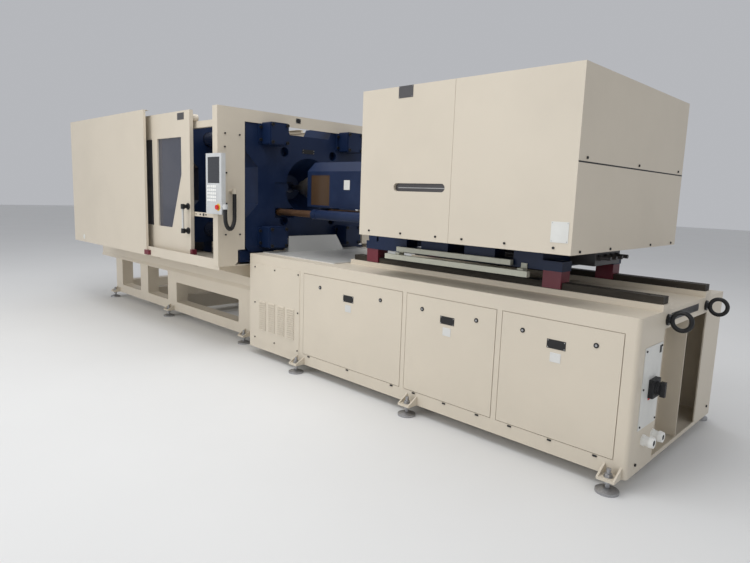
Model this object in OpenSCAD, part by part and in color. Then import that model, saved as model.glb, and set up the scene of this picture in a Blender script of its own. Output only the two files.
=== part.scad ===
// Horizontal two-platen injection moulding machine, in millimetres.
// X runs along the machine towards the injection end, -Y is the operator side, Z is up.
// Inside the modules X = 0 is the left end of the injection base, Y = 0 the centre line, Z = 0 the floor.

/* [Stance] */
// Height of the frames above the floor
foot_h = 70; // [55:1:110]
// Height of the machine's centre axis above the floor
axis_h = 1525; // [1500:1:1560]

/* [Clamp frame] */
// Length of the long beams, from the injection base to the left end
clamp_len = 4000; // [3800:10:4300]
// Length of the beams that reaches past the last post
overhang = 495; // [300:5:700]
// Width over both side frames
clamp_w = 1080; // [1060:2:1120]
// Height of the side frames
clamp_h = 720; // [700:1:735]
// Thickness of one side frame
side_t = 140; // [110:2:170]
// Depth of the long beam above the two small windows
beam_h = 273; // [220:1:300]
// Depth of the long beam above the big window
deep_beam_h = 383; // [330:1:420]
// Height of the bottom rail
sill_rail_h = 105; // [80:1:140]
// Width of the first post
post_w = 200; // [150:5:220]
// Width of the posts beside the middle window
mid_post_w = 212; // [160:2:230]
// Width of the left window
window_a = 560; // [480:5:600]
// Width of the middle window
window_b = 535; // [480:5:600]
// Width of the big window under the mould space
window_c = 1310; // [1200:5:1360]
// Corner radius of the windows
window_r = 18; // [8:1:30]
// Width of a guide way
way_w = 110; // [90:2:130]
// Height of a guide way
way_h = 30; // [20:1:40]
// Height of a cross beam
cross_h = 160; // [120:5:200]
// Width of a cross beam
cross_w = 140; // [100:5:180]

/* [Platens] */
// Width of both platens
platen_w = 1450; // [1420:2:1460]
// Height of both platens
platen_h = 1200; // [1170:2:1210]
// Thickness of the fixed platen
fixed_t = 430; // [380:5:440]
// Thickness of the moving platen
moving_t = 400; // [360:5:460]
// Distance between tie bars, across
tie_y = 928; // [916:2:936]
// Distance between tie bars, up
tie_z = 930; // [920:2:940]
// Diameter of a tie bar
tie_d = 140; // [110:2:160]
// Length of a tie bar to the left of the fixed platen
tie_len = 2930; // [2850:5:2980]
// Number of locking grooves on a tie bar
groove_n = 20; // [8:1:24]
// Distance between locking grooves
groove_pitch = 26; // [20:1:28]
// Depth of a locking groove
groove_depth = 7; // [4:0.5:9]
// Distance of the first groove from the caps' seat
groove_from = 1750; // [1740:5:1900]
// Width of a piston cap
cap_w = 204; // [190:2:216]
// Height of a piston cap
cap_h = 196; // [180:2:206]
// Length of a piston cap with its flange
cap_len = 156; // [140:2:160]
// Distance from the fixed platen's nozzle side to the injection base
platen_back = 70; // [64:1:80]
// Thickness of a cap's flange
cap_flange_t = 20; // [12:1:30]
// Free length between the platens as it stands
mould_gap = 650; // [450:5:800]
// Diameter of the locating bore for the mould
locate_d = 160; // [120:1:200]
// Width of the largest opening of the cone for the nozzle
cone_d = 560; // [520:5:580]
// Pitch of the mould fixing holes
bolt_pitch = 140; // [120:1:150]
// Diameter of the mould fixing holes
bolt_hole_d = 25; // [20:0.5:30]
// Depth of the dip between the platen's corners
platen_dip = 117; // [80:1:150]

// Width of the waist at the axis, on each side, below the full half width
platen_waist = 134; // [80:2:150]
// Height of the foot's pad on the frame
foot_pad_h = 40; // [30:1:60]
// Half width over the fixed platen's feet
foot_reach = 773; // [740:1:790]
// Height of the fixed platen's feet
platen_foot_h = 105; // [60:1:120]
// Thickness of a lock housing behind the moving platen
lock_t = 240; // [200:5:260]
// Length of the ejector cylinder
ejector_len = 320; // [260:5:360]
// Diameter of the ejector cylinder
ejector_d = 180; // [140:2:200]
// Diameter of a traverse cylinder
traverse_d = 100; // [84:1:110]
// Diameter of a traverse rod
traverse_rod_d = 50; // [36:1:56]
// Distance of the traverse cylinders inside the side frames' outer faces
traverse_inset = 50; // [40:1:70]
// Length by which the moving platen's shoes lead it
shoe_lead = 60; // [30:1:80]

/* [Clamp covers] */
// Half width over the front and rear clamp covers
cover_reach = 1020; // [1010:1:1040]
// Length of a clamp cover
clamp_cover_len = 2115; // [2000:5:2150]
// Distance from the injection base to the right edge of a clamp cover
clamp_cover_x = 1470; // [1450:1:1520]
// Height of the lower edge of a clamp cover
clamp_cover_z = 775; // [765:1:785]
// Height of a clamp cover
clamp_cover_h = 1475; // [1450:5:1500]
// Depth of the folded edges of a clamp cover
cover_fold = 60; // [40:1:65]
// Depth of a clamp cover's right edge, beside the gate
edge_fold = 24; // [16:1:40]
// Thickness of cover sheet
sheet_t = 3; // [2:0.5:4]

/* [Portal] */
// Thickness of the portal along the machine
portal_t = 80; // [60:2:90]
// Distance from the injection base to the portal
portal_x = 60; // [50:1:75]
// Half width over the portal
portal_reach = 1008; // [1000:1:1015]
// Width of a portal column
column_w = 270; // [255:1:275]
// Height of the portal above the floor
portal_top = 2185; // [2170:1:2220]
// Height of the portal's top beam
portal_beam = 108; // [90:1:112]
// Height of the lower edge of the portal
portal_z = 812; // [810:1:825]

/* [Gates] */
// Width of a sliding gate
gate_w = 1460; // [1400:5:1500]
// Height of the gate's lower edge
gate_z = 858; // [856:1:870]
// Height of a gate
gate_h = 1342; // [1310:2:1350]
// Thickness of a gate
gate_t = 36; // [28:1:40]
// Half width over the gates
gate_reach = 940; // [936:1:945]
// Distance from the injection base to the gate's right edge as it stands
gate_x = 670; // [640:5:750]
// Width of a gate window
pane_w = 502; // [450:2:520]
// Height of a gate window
pane_h = 870; // [800:5:900]
// Distance from the gate's lower edge to its windows
pane_z = 232; // [210:2:240]
// Width of the gate's closing stile, beside the window
stile_w = 168; // [150:2:180]
// Width of the post between the windows
mullion_w = 113; // [80:1:120]
// Width of the slant at the window's lower corner
pane_slant_w = 208; // [150:2:230]
// Height of the slant at the window's lower corner
pane_slant_h = 520; // [400:5:600]
// Thickness of a window pane
pane_t = 6; // [4:0.5:8]
// Distance from the gate's lower edge to the handle's lower foot
grip_z = 222; // [200:2:240]
// Distance between the feet of the gate handle
grip_span = 230; // [200:2:260]
// Distance of the grip from the gate
grip_reach = 58; // [50:1:62]
// Diameter of the grip
grip_d = 22; // [18:1:26]
// Height of the sill lip
lip_h = 58; // [50:1:60]
// Height of the top rail above the floor
top_rail_z = 2040; // [2030:2:2070]

/* [Injection base] */
// Length of the injection base
base_len = 3430; // [3400:10:3600]
// Width of the injection base
base_w = 1440; // [1430:2:1460]
// Height of the injection base without its feet
base_h = 850; // [840:1:860]
// Thickness of the base's plates
plate_t = 8; // [6:0.5:10]
// Radius of the corner between front and end
corner_r = 24; // [12:1:30]
// Distance from the right access door to the end of the base
door_end = 77; // [70:1:90]
// Width of the middle access door
door_b_w = 706; // [690:2:710]
// Width of the right access door
door_c_w = 708; // [690:2:712]
// Distance from the left end of the base to the left door
door_x = 781; // [775:1:790]
// Width of the posts between the doors
door_post = 43; // [40:1:48]
// Height of an access door
door_h = 668; // [640:2:680]
// Distance from the base's lower edge to the doors
door_z = 91; // [80:1:100]
// Gap round a door
door_gap = 4; // [3:0.5:5]
// Width of the lip behind the door's sides
lip_w = 18; // [12:1:20]
// Depth of the lip behind the door's top
top_lip = 44; // [38:1:50]
// Distance from the door's top edge to its locks
lock_drop = 88; // [80:1:95]
// Distance of the left door's locks from its sides
lock_in_a = 205; // [160:5:240]
// Distance of the other doors' locks from their sides
lock_in_b = 138; // [110:2:160]
// Diameter of a lock head
lock_d = 28; // [22:1:34]
// Length of a lock cam from its axis
cam_len = 58; // [56:1:62]
// Width of the end opening
end_open_w = 760; // [700:5:800]
// Height of the end opening
end_open_h = 725; // [680:5:740]
// Width of the holes in the inner end plate
slot_w = 250; // [200:5:280]

/* [Louvre panel] */
// Width of the louvre panel
louvre_w = 690; // [670:2:710]
// Height of the louvre panel
louvre_h = 705; // [680:5:720]
// Number of slots in a column
louvre_rows = 14; // [8:1:15]
// Number of columns
louvre_cols = 4; // [2:1:4]
// Length of a slot
louvre_len = 98; // [60:1:105]
// Distance between slots
louvre_pitch = 19; // [16:0.5:20]
// Distance between columns
louvre_step = 135; // [115:1:140]

/* [Rails and carriage] */
// Distance between the two rails
rail_gauge = 750; // [740:2:760]
// Width of a rail
rail_w = 80; // [70:1:90]
// Height of a rail
rail_h = 40; // [30:1:45]
// Height of the raised beam under a rail
rail_seat_h = 35; // [30:1:40]
// Length of a rail
rail_len = 2370; // [2300:5:2400]
// Length of the carriage cover
shell_len = 1577; // [1560:1:1600]
// Half width over the carriage cover
shell_reach = 800; // [790:1:810]
// Height of the carriage cover
shell_h = 970; // [940:5:1000]
// Height of the cover's lower edge above the floor
shell_z = 1200; // [1195:1:1210]
// Distance from the injection base's left end to the cover
shell_x = 1493; // [1480:1:1500]
// Length of the front part of the cover
shell_split = 781; // [760:1:800]
// Height of the seam in the cover's end
seam_h = 482; // [450:1:500]
// Length of the slot in the front of the cover
view_slot_w = 424; // [400:2:440]
// Height of the slot in the front of the cover
view_slot_h = 52; // [40:1:60]
// Length of a rail shoe
shoe_len = 120; // [110:1:140]
// Height of a rail shoe
shoe_h = 104; // [100:1:110]
// Length of the carriage frame
sled_len = 1650; // [1610:5:1680]
// Distance from the injection base's left end to the carriage frame
sled_x = 1200; // [1190:1:1220]
// Height of the carriage frame's beams
sled_h = 150; // [130:2:160]
// Height of the carriage frame over its shoes
sled_lug_h = 60; // [40:2:90]
// Outer diameter of the barrel
barrel_d = 190; // [160:2:210]
// Diameter of the screw
screw_d = 90; // [70:1:100]
// Distance of the nozzle's tip from the fixed platen's mould face as it stands
nozzle_gap = 195; // [175:1:230]
// Diameter of an injection rod
inject_rod_d = 76; // [60:1:90]
// Travel of the injection drive
inject_travel = 320; // [200:5:340]
// Thickness of the drive's yoke
yoke_t = 140; // [110:2:160]
// Diameter of a traction cylinder
traction_d = 85; // [80:1:100]
// Diameter of a traction rod
traction_rod_d = 60; // [45:1:64]
// Distance of the traction cylinders from the centre line
traction_y = 320; // [310:2:330]
// Depth of the traction cylinders below the axis
traction_drop = 238; // [232:1:244]

/* [Nozzle guard] */
// Distance from the injection base's left end to the nozzle guard
guard_x = 195; // [180:1:220]
// Length of the nozzle guard
guard_len = 737; // [700:1:760]
// Width of the nozzle guard
guard_w = 460; // [440:2:470]
// Height of the nozzle guard above the axis
guard_up = 230; // [220:1:245]
// Depth of the nozzle guard below the axis
guard_down = 174; // [168:1:180]
// Width of the chamfer along the guard's top
guard_chamfer = 85; // [60:1:100]
// Width of the guard's window
guard_window_w = 256; // [240:2:300]
// Diameter of the rod that the guard is hinged on
hinge_d = 16; // [12:1:18]
// Height of the guard's window
guard_window_h = 268; // [220:2:270]

/* [Operator panel] */
// Width of the operator panel
panel_w = 252; // [240:2:270]
// Height of the operator panel
panel_h = 510; // [480:5:540]
// Depth of the operator panel
panel_t = 40; // [34:1:50]
// Height of the panel's lower edge above the floor
panel_z = 1270; // [1264:1:1290]
// Width of the panel to the left of its hinge
panel_left = 60; // [50:1:70]
// Gap between the portal and the panel's back
panel_gap = 14; // [12:1:16]
// Diameter of the emergency-stop button
stop_d = 40; // [34:1:44]
// Travel of the emergency-stop button
stop_travel = 6; // [4:0.5:8]
// Diameter of the conduit
conduit_d = 36; // [30:1:38]

/* [Feet] */
// Diameter of a levelling bolt
jack_d = 24; // [20:1:30]
// Diameter of a levelling pad
pad_d = 120; // [100:5:140]
// Height of a levelling pad
pad_h = 28; // [22:1:32]
// Outer diameter of a lifting eye's ring
eye_d = 120; // [110:1:124]
// Diameter of the bar of a lifting eye
eye_bar = 24; // [20:1:26]

/* [Hidden] */
$fn = 48;

// Colours of the paint and metals
paint = [0.83, 0.80, 0.74];
navy = [0.10, 0.13, 0.30];
steel = [0.62, 0.63, 0.64];
dark = [0.08, 0.08, 0.09];
crimson = [0.45, 0.05, 0.12];

// Running clearances between parts that touch or slide
fit = 0.3;
slide_gap = 2;

// Heights and lengths that follow from the sizes above
frame_top = foot_h + clamp_h;
base_top = foot_h + base_h;
rail_z = base_top + rail_seat_h;
post_x = -(clamp_len - overhang);
frame_gap = 25;
window_a_x = post_x + post_w;
window_b_x = window_a_x + window_a + mid_post_w;
window_c_x = window_b_x + window_b + mid_post_w;
rebate_h = 265;
rebate_t = 14;
ledge_h = 35;
foot_z = frame_top + foot_pad_h;
way_top = frame_top + way_h;
way_y = clamp_w / 2 - side_t / 2;
fixed_x = -platen_back - fixed_t;
moving_x = fixed_x - mould_gap - moving_t;
half_w = platen_w / 2;
half_h = platen_h / 2;
boss_in = half_w - 430;
open_travel = 750;
close_travel = 250;
way_from = moving_x - open_travel - shoe_lead - 20;
way_to = fixed_x - 20;
traverse_y = clamp_w / 2 - traverse_inset;
traverse_head = moving_x - open_travel - 20;
traverse_end = traverse_head - close_travel - open_travel - 130;
clamp_cover_left = -clamp_cover_x - clamp_cover_len;
sill_z = portal_z;
gate_guide_y = -gate_reach + 25;
guide_h = 40;
lip_x = clamp_cover_left + 90;
lip_reach = portal_reach - 8;
rail_foot_w = 110;
door_c_x = base_len - door_end - door_c_w;
door_b_x = door_c_x - door_post - door_b_w;
door_a_w = door_b_x - door_post - door_x;
louvre_x = 38;
louvre_z = foot_h + 65;
cabinet_y = [-360, 60];
cabinet_z = [foot_h + 20, foot_h + 770];
gland_places = [[-base_w / 2 + 180, foot_h + 172], [-base_w / 2 + 320, foot_h + 165]];
door_low = foot_h + door_z;
lock_z = door_low + door_h - lock_drop;
front_y = -base_w / 2;
barrel_x = sled_x + 330;
nozzle_x = fixed_x + nozzle_gap;
screw_root = screw_d - 26;
yoke_x = barrel_x + 520;
rod_y = 270;
band_w = 104;
band_pitch = band_w + 26;
throat_x = barrel_x + 275;
throat_h = 190;
throat_d = 90;
traction_z = axis_h - traction_drop;
traction_x = 403;
anchor_t = 60;
pocket_t = 16;
panel_pivot = [-portal_x - portal_t / 2, -portal_reach - panel_gap / 2];
panel_x = panel_pivot[0] - panel_left;
panel_back = -portal_reach - panel_gap;
hinge_zs = [panel_z + 130, panel_z + 350];
column_top = portal_top - sheet_t;

// Route of the conduit's middle line: down from the column's elbow, round in a loop and up to the panel's
conduit_route = [[0, -880, 1444], [0, -880, 1410], [0, -880, 1370], [0, -880, 1330], [0, -880, 1290],
    [0, -880, 1250], [4, -885, 1213], [14, -899, 1183], [29, -920, 1160], [49, -947, 1148], [69, -975, 1148],
    [88, -1001, 1160], [104, -1023, 1183], [114, -1037, 1213], [118, -1042, 1250], [118, -1042, 1282],
    [118, -1042, 1315]];
elbow_drop = conduit_d + 6;

// Extents that the frame is centred on
x_low = -clamp_len;
x_high = base_len + 72 + eye_d / 2;
y_low = panel_back - panel_t - 22;
y_high = cover_reach;

// Puts the origin under the middle of the whole machine
module place() translate([-(x_low + x_high) / 2, -(y_low + y_high) / 2, 0]) children();

// Both sides of the centre line
module both_sides() {
    children();
    mirror([0, 1, 0]) children();
}

// Rectangle with round corners, centred
module round_rect(w, h, r) {
    square([w - 2 * r, h], center = true);
    square([w, h - 2 * r], center = true);
    for (x = [-1, 1], y = [-1, 1]) translate([x * (w / 2 - r), y * (h / 2 - r)]) circle(r);
}

// Flat profile drawn in X and Z, given its thickness from y towards +Y
module upright(y, t) translate([0, y + t, 0]) rotate([90, 0, 0]) linear_extrude(t) children();

// Flat profile drawn in Y and Z, given its thickness from x towards +X
module crosswise(x, t) translate([x, 0, 0]) rotate([90, 0, 90]) linear_extrude(t) children();

// Round bar along X from a point
module bar_x(at, d, len) translate(at) rotate([0, 90, 0]) cylinder(d = d, h = len);

// Round bar along Y from a point
module bar_y(at, d, len) translate(at) rotate([-90, 0, 0]) cylinder(d = d, h = len);

// Block given by its lowest and highest corner
module block(a, b) translate(a) cube([b[0] - a[0], b[1] - a[1], b[2] - a[2]]);

// Folded pan in the XZ plane: a sheet with its four edges folded back by depth
module pan(x0, x1, z0, z1, y, depth) {
    difference() {
        block([x0, y, z0], [x1, y + depth, z1]);
        block([x0 + sheet_t, y + sheet_t, z0 + sheet_t], [x1 - sheet_t, y + depth + 1, z1 - sheet_t]);
    }
}

// Hexagon head with its washer, pointing up
module hex_head(d) {
    cylinder(d = d * 2, h = d * 0.15);
    cylinder(d = d * 1.75, h = d * 0.75, $fn = 6);
}

module side_frame_outline() {
    difference() {
        polygon([[-clamp_len, frame_top - beam_h], [post_x, frame_top - beam_h], [post_x, foot_h],
            [-frame_gap, foot_h], [-frame_gap, frame_top], [-clamp_len, frame_top]]);
        small_h = clamp_h - beam_h - sill_rail_h;
        for (w = [[window_a_x, window_a], [window_b_x, window_b]])
            translate([w[0] + w[1] / 2, foot_h + sill_rail_h + small_h / 2])
                round_rect(w[1], small_h, window_r);
        big_h = clamp_h - deep_beam_h - sill_rail_h;
        translate([window_c_x + window_c / 2, foot_h + sill_rail_h + big_h / 2])
            round_rect(window_c, big_h, window_r);
    }
}

module clamp_frame() {
    inner = clamp_w / 2 - side_t;
    face = -clamp_w / 2;
    color(paint) {
        both_sides() {
            difference() {
                upright(-clamp_w / 2, side_t) side_frame_outline();
                // The upper part of the long beam lies deeper, above a sloping ledge
                crosswise(-clamp_len - 1, clamp_len + 2) polygon([[face - 1, frame_top - rebate_h],
                    [face, frame_top - rebate_h], [face + rebate_t, frame_top - rebate_h + ledge_h],
                    [face + rebate_t, frame_top + 1], [face - 1, frame_top + 1]]);
            }
            // Machined pad under the fixed platen's foot
            block([fixed_x + 10, -clamp_w / 2 + rebate_t, frame_top], [-platen_back - 10, -inner, foot_z]);
        }
        for (x = [post_x + 30, window_b_x - mid_post_w + 36, window_c_x - mid_post_w + 36,
                window_c_x + window_c + 60]) {
            block([x, -inner, foot_h], [x + cross_w, inner, foot_h + cross_h]);
            if (x < window_c_x) block([x, -inner, frame_top - cross_h], [x + cross_w, inner, frame_top]);
        }
    }
}

module platen_ways() {
    color(steel) both_sides() difference() {
        block([way_from, -way_y - way_w / 2, frame_top], [way_to, -way_y + way_w / 2, way_top]);
        for (x = [way_from + 120 : 380 : way_to - 80])
            translate([x, -way_y, way_top - 14]) cylinder(d = 26, h = 20);
    }
}

// Outline of a platen about the axis: four corner bosses with a dip between them on each side
module platen_outline() {
    c = 45;
    boss_z = half_h / 2;
    quarter = [[0, half_h - platen_dip], [boss_in - 55, half_h - platen_dip], [boss_in, half_h],
        [half_w - c, half_h], [half_w, half_h - c], [half_w, boss_z],
        [half_w - platen_waist, boss_z - platen_waist], [half_w - platen_waist, 0]];
    half = concat(quarter, [for (i = [len(quarter) - 2 : -1 : 0]) [quarter[i][0], -quarter[i][1]]]);
    full = concat(half, [for (i = [len(half) - 2 : -1 : 1]) [-half[i][0], half[i][1]]]);
    polygon(full);
}

// Mould fixing holes in three rows on each side of the locating bore, in Y and Z
module mould_holes() {
    for (y = [-2, -1, 1, 2], z = [-2.5, -1.5, 1.5, 2.5])
        translate([y * bolt_pitch, z * bolt_pitch]) circle(d = bolt_hole_d);
}

module fixed_platen() {
    back = fixed_x + fixed_t;
    rim = cone_d / 2;
    color(navy) {
        difference() {
            translate([0, 0, axis_h]) crosswise(fixed_x, fixed_t) platen_outline();
            // Cone for the nozzle, ending in the locating bore
            translate([fixed_x, 0, axis_h]) rotate([0, 90, 0]) {
                translate([0, 0, -1]) cylinder(d = locate_d, h = 26);
                translate([0, 0, -1]) cylinder(d = 110, h = 130);
                translate([0, 0, 120]) cylinder(d1 = 240, d2 = cone_d, h = fixed_t - 120 + 0.1);
            }
            translate([0, 0, axis_h]) crosswise(fixed_x - 1, 61) mould_holes();
            for (y = [-1, 1], z = [-1, 1]) {
                bar_x([fixed_x - 1, y * tie_y / 2, axis_h + z * tie_z / 2], tie_d + 2 * fit, fixed_t + 2);
                bar_x([back - 70, y * 298, axis_h + z * 322], 90, 71);
            }
            // Shallow pockets beside the cone, each above a slot where a traction rod is anchored
            both_sides() {
                translate([0, 0, axis_h]) crosswise(back - pocket_t, pocket_t + 1) polygon([[-rim - 126, -202],
                    [-rim - 126, 40], [-rim - 2, 40], [-rim + 40, 82], [-rim + 140, 82], [-rim + 140, -202]]);
                block([back - anchor_t, -traction_y - 82, traction_z - 54],
                    [back + 1, -traction_y + 146, axis_h - 201]);
            }
        }
        // Feet that stand on the side frames
        both_sides() difference() {
            block([fixed_x + 20, -foot_reach, foot_z], [back - 20, -clamp_w / 2 + side_t,
                foot_z + platen_foot_h]);
            for (x = [fixed_x + 80, (fixed_x + back) / 2, back - 80])
                translate([x, -foot_reach + 24, foot_z - 1]) cylinder(d = 27, h = platen_foot_h + 2);
        }
    }
}

module piston_caps() {
    back = fixed_x + fixed_t;
    color(navy) for (y = [-1, 1], z = [-1, 1]) translate([back, y * tie_y / 2, axis_h + z * tie_z / 2])
        rotate([90, 0, 90]) difference() {
            union() {
                // Flange with its ears, then the body with its eased end
                linear_extrude(cap_flange_t) round_rect(cap_w + 60, cap_h - 24, 14);
                translate([0, 0, cap_flange_t]) linear_extrude(cap_len - 8 - cap_flange_t)
                    round_rect(cap_w, cap_h, 14);
                translate([0, 0, cap_flange_t]) linear_extrude(cap_len - cap_flange_t)
                    round_rect(cap_w - 16, cap_h - 16, 10);
            }
            for (u = [-1, 1], v = [-1, 1])
                translate([u * (cap_w / 2 - 20), v * (cap_h / 2 - 20), cap_len - 8]) cylinder(d = 20, h = 10);
        }
}

module locking_groove(w) difference() {
    cylinder(d = tie_d + 2, h = w);
    translate([0, 0, -1]) cylinder(d = tie_d - 2 * groove_depth, h = w + 2);
}

module tie_bars() {
    back = fixed_x + fixed_t;
    color(steel) for (y = [-1, 1], z = [-1, 1])
        translate([back, y * tie_y / 2, axis_h + z * tie_z / 2]) rotate([0, -90, 0]) {
            difference() {
                cylinder(d = tie_d, h = tie_len);
                for (i = [0 : 1 : groove_n - 1])
                    translate([0, 0, groove_from + i * groove_pitch]) locking_groove(groove_pitch / 2);
            }
            translate([0, 0, tie_len]) cylinder(d1 = tie_d, d2 = tie_d - 24, h = 12);
        }
}

// Both traverse cylinders, beside the axis
module traverse_seat() {
    for (s = [-1, 1]) translate([0, s * traverse_y, axis_h]) children();
}

module traverse_cylinders() {
    len = traverse_head - traverse_end;
    bore = traverse_rod_d + 24;
    foot_y = clamp_w / 2 - side_t;
    color(navy) traverse_seat() difference() {
        union() {
            bar_x([traverse_end, 0, 0], traverse_d, len);
            bar_x([traverse_head - 60, 0, 0], traverse_d + 12, 60);
        }
        bar_x([traverse_end + 40, 0, 0], bore, len - 90);
        bar_x([traverse_head - 60, 0, 0], traverse_rod_d + 0.1, 61);
    }
    // Stands on the side frames that hold the cylinders' closed ends
    color(navy) both_sides() difference() {
        union() {
            block([traverse_end, -clamp_w / 2 - 5, axis_h - 80],
                [traverse_end + 36, -traverse_y + 70, axis_h + 75]);
            block([traverse_end, -clamp_w / 2 + rebate_t, frame_top],
                [traverse_end + 36, -foot_y, axis_h - 80]);
            block([traverse_end - 60, -clamp_w / 2 + rebate_t, frame_top],
                [traverse_end + 90, -foot_y, frame_top + 24]);
        }
        for (x = [traverse_end - 36, traverse_end + 64])
            translate([x, -foot_y - 36, frame_top - 1]) cylinder(d = 18, h = 30);
    }
}

module clamp_cover_shell() {
    right = -clamp_cover_x;
    top = clamp_cover_z + clamp_cover_h;
    inner = -cover_reach + cover_fold + 1;
    difference() {
        pan(clamp_cover_left, right, clamp_cover_z, top, -cover_reach, cover_fold);
        // Room for the sill's lip
        block([lip_x - 20, -lip_reach - fit, clamp_cover_z - 1], [right + 1, inner, sill_z + lip_h + fit]);
        // Narrow fold along the right edge
        block([right - sheet_t - 1, -cover_reach + edge_fold, sill_z], [right + 1, inner, top + 1]);
    }
    // Angles that hang the cover on the sill's lip
    for (x = [clamp_cover_left + 200, (clamp_cover_left + right) / 2, right - 200])
        block([x, -cover_reach + sheet_t, sill_z + 8], [x + 60, -lip_reach, sill_z + lip_h - 8]);
}

module front_clamp_cover() {
    color(paint) clamp_cover_shell();
    // Stop block at the lower corner
    color(crimson) block([-clamp_cover_x - 40, -cover_reach - 6, sill_z - 26],
        [-clamp_cover_x, -cover_reach, sill_z + 20]);
}

module rear_clamp_cover() color(paint) mirror([0, 1, 0]) clamp_cover_shell();

module clamp_end_guard() {
    top = clamp_cover_z + clamp_cover_h;
    inner = cover_reach - cover_fold - fit;
    color(paint) difference() {
        block([clamp_cover_left, -inner, frame_top + fit], [clamp_cover_left + 40, inner, top]);
        block([clamp_cover_left + sheet_t, -inner + sheet_t, frame_top], [clamp_cover_left + 41,
            inner - sheet_t, top - sheet_t]);
        for (z = [0 : 1 : 9], y = [-1, 1])
            translate([clamp_cover_left - 1, y * 430 - 180, 1750 + z * 36]) cube([sheet_t + 2, 360, 12]);
    }
}

// Outline of the portal in Y and Z, shrunk by t for its hollow
module portal_outline(t) {
    out = portal_reach - t;
    inn = portal_reach - column_w + t;
    top = portal_top - t;
    under = portal_top - portal_beam - (t > 0 ? 1 : 0);
    notch = 72;
    notch_top = base_top + 30 - t;
    low = portal_z + t;
    slant = 30;
    right = [[inn, under], [inn, notch_top], [inn + notch, notch_top], [inn + notch, low + slant],
        [inn + notch + slant, low], [out, low], [out, top]];
    polygon(concat(right, [for (i = [len(right) - 1 : -1 : 0]) [-right[i][0], right[i][1]]]));
}

module portal_cover() {
    face = -portal_x;
    skin = face - sheet_t;
    elbow = conduit_route[0];
    color(paint) {
        difference() {
            crosswise(face - portal_t, portal_t) portal_outline(0);
            crosswise(face - portal_t - 1, portal_t + 1 - sheet_t) portal_outline(sheet_t);
        }
        // Elbow that the conduit hangs from
        bar_x([face, elbow[1], elbow[2] + elbow_drop / 2], 30, elbow[0] - face);
        translate(elbow) cylinder(d = conduit_d + 8, h = elbow_drop);
        // Arm that carries the gate's safety switch, behind the closing edge of the gate
        block([-gate_x - 30, -898, 1222], [skin, -892, 1262]);
        block([face - portal_t, -892, 1212], [skin, -880, 1272]);
        block([-gate_x + 150, -892, 1226], [-gate_x + 230, -880, 1258]);
        // Hinge brackets of the operator panel
        for (z = hinge_zs) difference() {
            union() {
                translate([panel_pivot[0], panel_pivot[1], z]) cylinder(d = panel_gap - 2, h = 40);
                block([panel_pivot[0] - 4, panel_pivot[1], z], [panel_pivot[0] + 4, -portal_reach, z + 40]);
            }
            translate([panel_pivot[0], panel_pivot[1], z - 1]) cylinder(d = panel_gap / 2 + 0.1, h = 42);
        }
    }
}

// One gate's track: a shelf on gussets with a lip at its edge, its guide rail, and a rail above the gate
module gate_track() {
    reach = lip_reach;
    left = lip_x;
    right = -portal_x - portal_t - fit;
    block([left, -reach, sill_z - 6], [-portal_x, -clamp_w / 2 + rebate_t, sill_z]);
    block([left, -reach, clamp_cover_z], [-portal_x, -reach + 6, sill_z - 6]);
    block([left, -reach, sill_z], [right, -reach + 6, sill_z + lip_h]);
    block([left, gate_guide_y - 8, sill_z], [right, gate_guide_y + 8, sill_z + guide_h]);
    for (x = [left + 40, (left + right) / 2 - 400, (left + right) / 2 + 500, right - 60]) shelf_gusset(x);
    // Rail above the gate, hung between the end guard and the portal
    block([clamp_cover_left + sheet_t, -gate_reach + 70, top_rail_z],
        [-portal_x - sheet_t, -gate_reach + 110, top_rail_z + 60]);
}

// Triangular gusset under the shelf
module shelf_gusset(x) {
    out = portal_reach - 60;
    root = -clamp_w / 2 + rebate_t;
    crosswise(x, 12) polygon([[root, sill_z - 6], [root, sill_z - 170], [-out, sill_z - 40],
        [-out, sill_z - 6]]);
}

module gate_tracks() {
    color(paint) both_sides() gate_track();
}

// Stainless sheet on the deck under the nozzle, with the slanted catch plate at the platen
module purge_tray() {
    t = 2;
    w = 1180;
    color(steel) {
        difference() {
            block([12, -w / 2, base_top], [1000, w / 2, base_top + 8]);
            block([12 + t, -w / 2 + t, base_top + t], [1000 - t, w / 2 - t, base_top + 9]);
        }
        crosswise(70, t) polygon([[-345, base_top + t], [345, base_top + t], [245, base_top + 150],
            [-345, base_top + 150]]);
        for (y = [-345, 150]) block([16, y, base_top + t], [70, y + t, base_top + 130]);
    }
}

module traction_rods() {
    back = fixed_x + fixed_t;
    color(steel) for (s = [-1, 1]) {
        bar_x([back - anchor_t, s * traction_y, traction_z], traction_rod_d, sled_x - back + anchor_t + 90);
        bar_x([back - anchor_t, s * traction_y, traction_z], traction_rod_d + 10, 30);
    }
}

// The three doors as [left edge, width, distance of the locks from the sides]
doors = [[door_x, door_a_w, lock_in_a], [door_b_x, door_b_w, lock_in_b], [door_c_x, door_c_w, lock_in_b]];

module door_hole(d, grow) {
    translate([d[0] - grow, door_low - grow]) square([d[1] + 2 * grow, door_h + 2 * grow]);
}

module base_front_wall() {
    color(paint) {
        difference() {
            upright(front_y, plate_t) difference() {
                translate([0, foot_h]) square([base_len - corner_r, base_h]);
                for (d = doors) door_hole(d, door_gap);
                translate([louvre_x + 30, louvre_z + 30]) square([louvre_w - 60, louvre_h - 60]);
            }
        }
        // Lips behind the doors, with rubber-seat width, deeper at the top for the cams
        upright(front_y + plate_t, 6) difference() {
            for (d = doors) door_hole(d, 16);
            for (d = doors) translate([d[0] + lip_w, door_low + lip_w])
                square([d[1] - 2 * lip_w, door_h - lip_w - top_lip]);
        }
        // Rounded corner towards the end wall
        translate([base_len - corner_r, front_y + corner_r, foot_h]) rotate([0, 0, -90])
            rotate_extrude(angle = 90) translate([corner_r - plate_t, 0]) square([plate_t, base_h]);
    }
}

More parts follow.
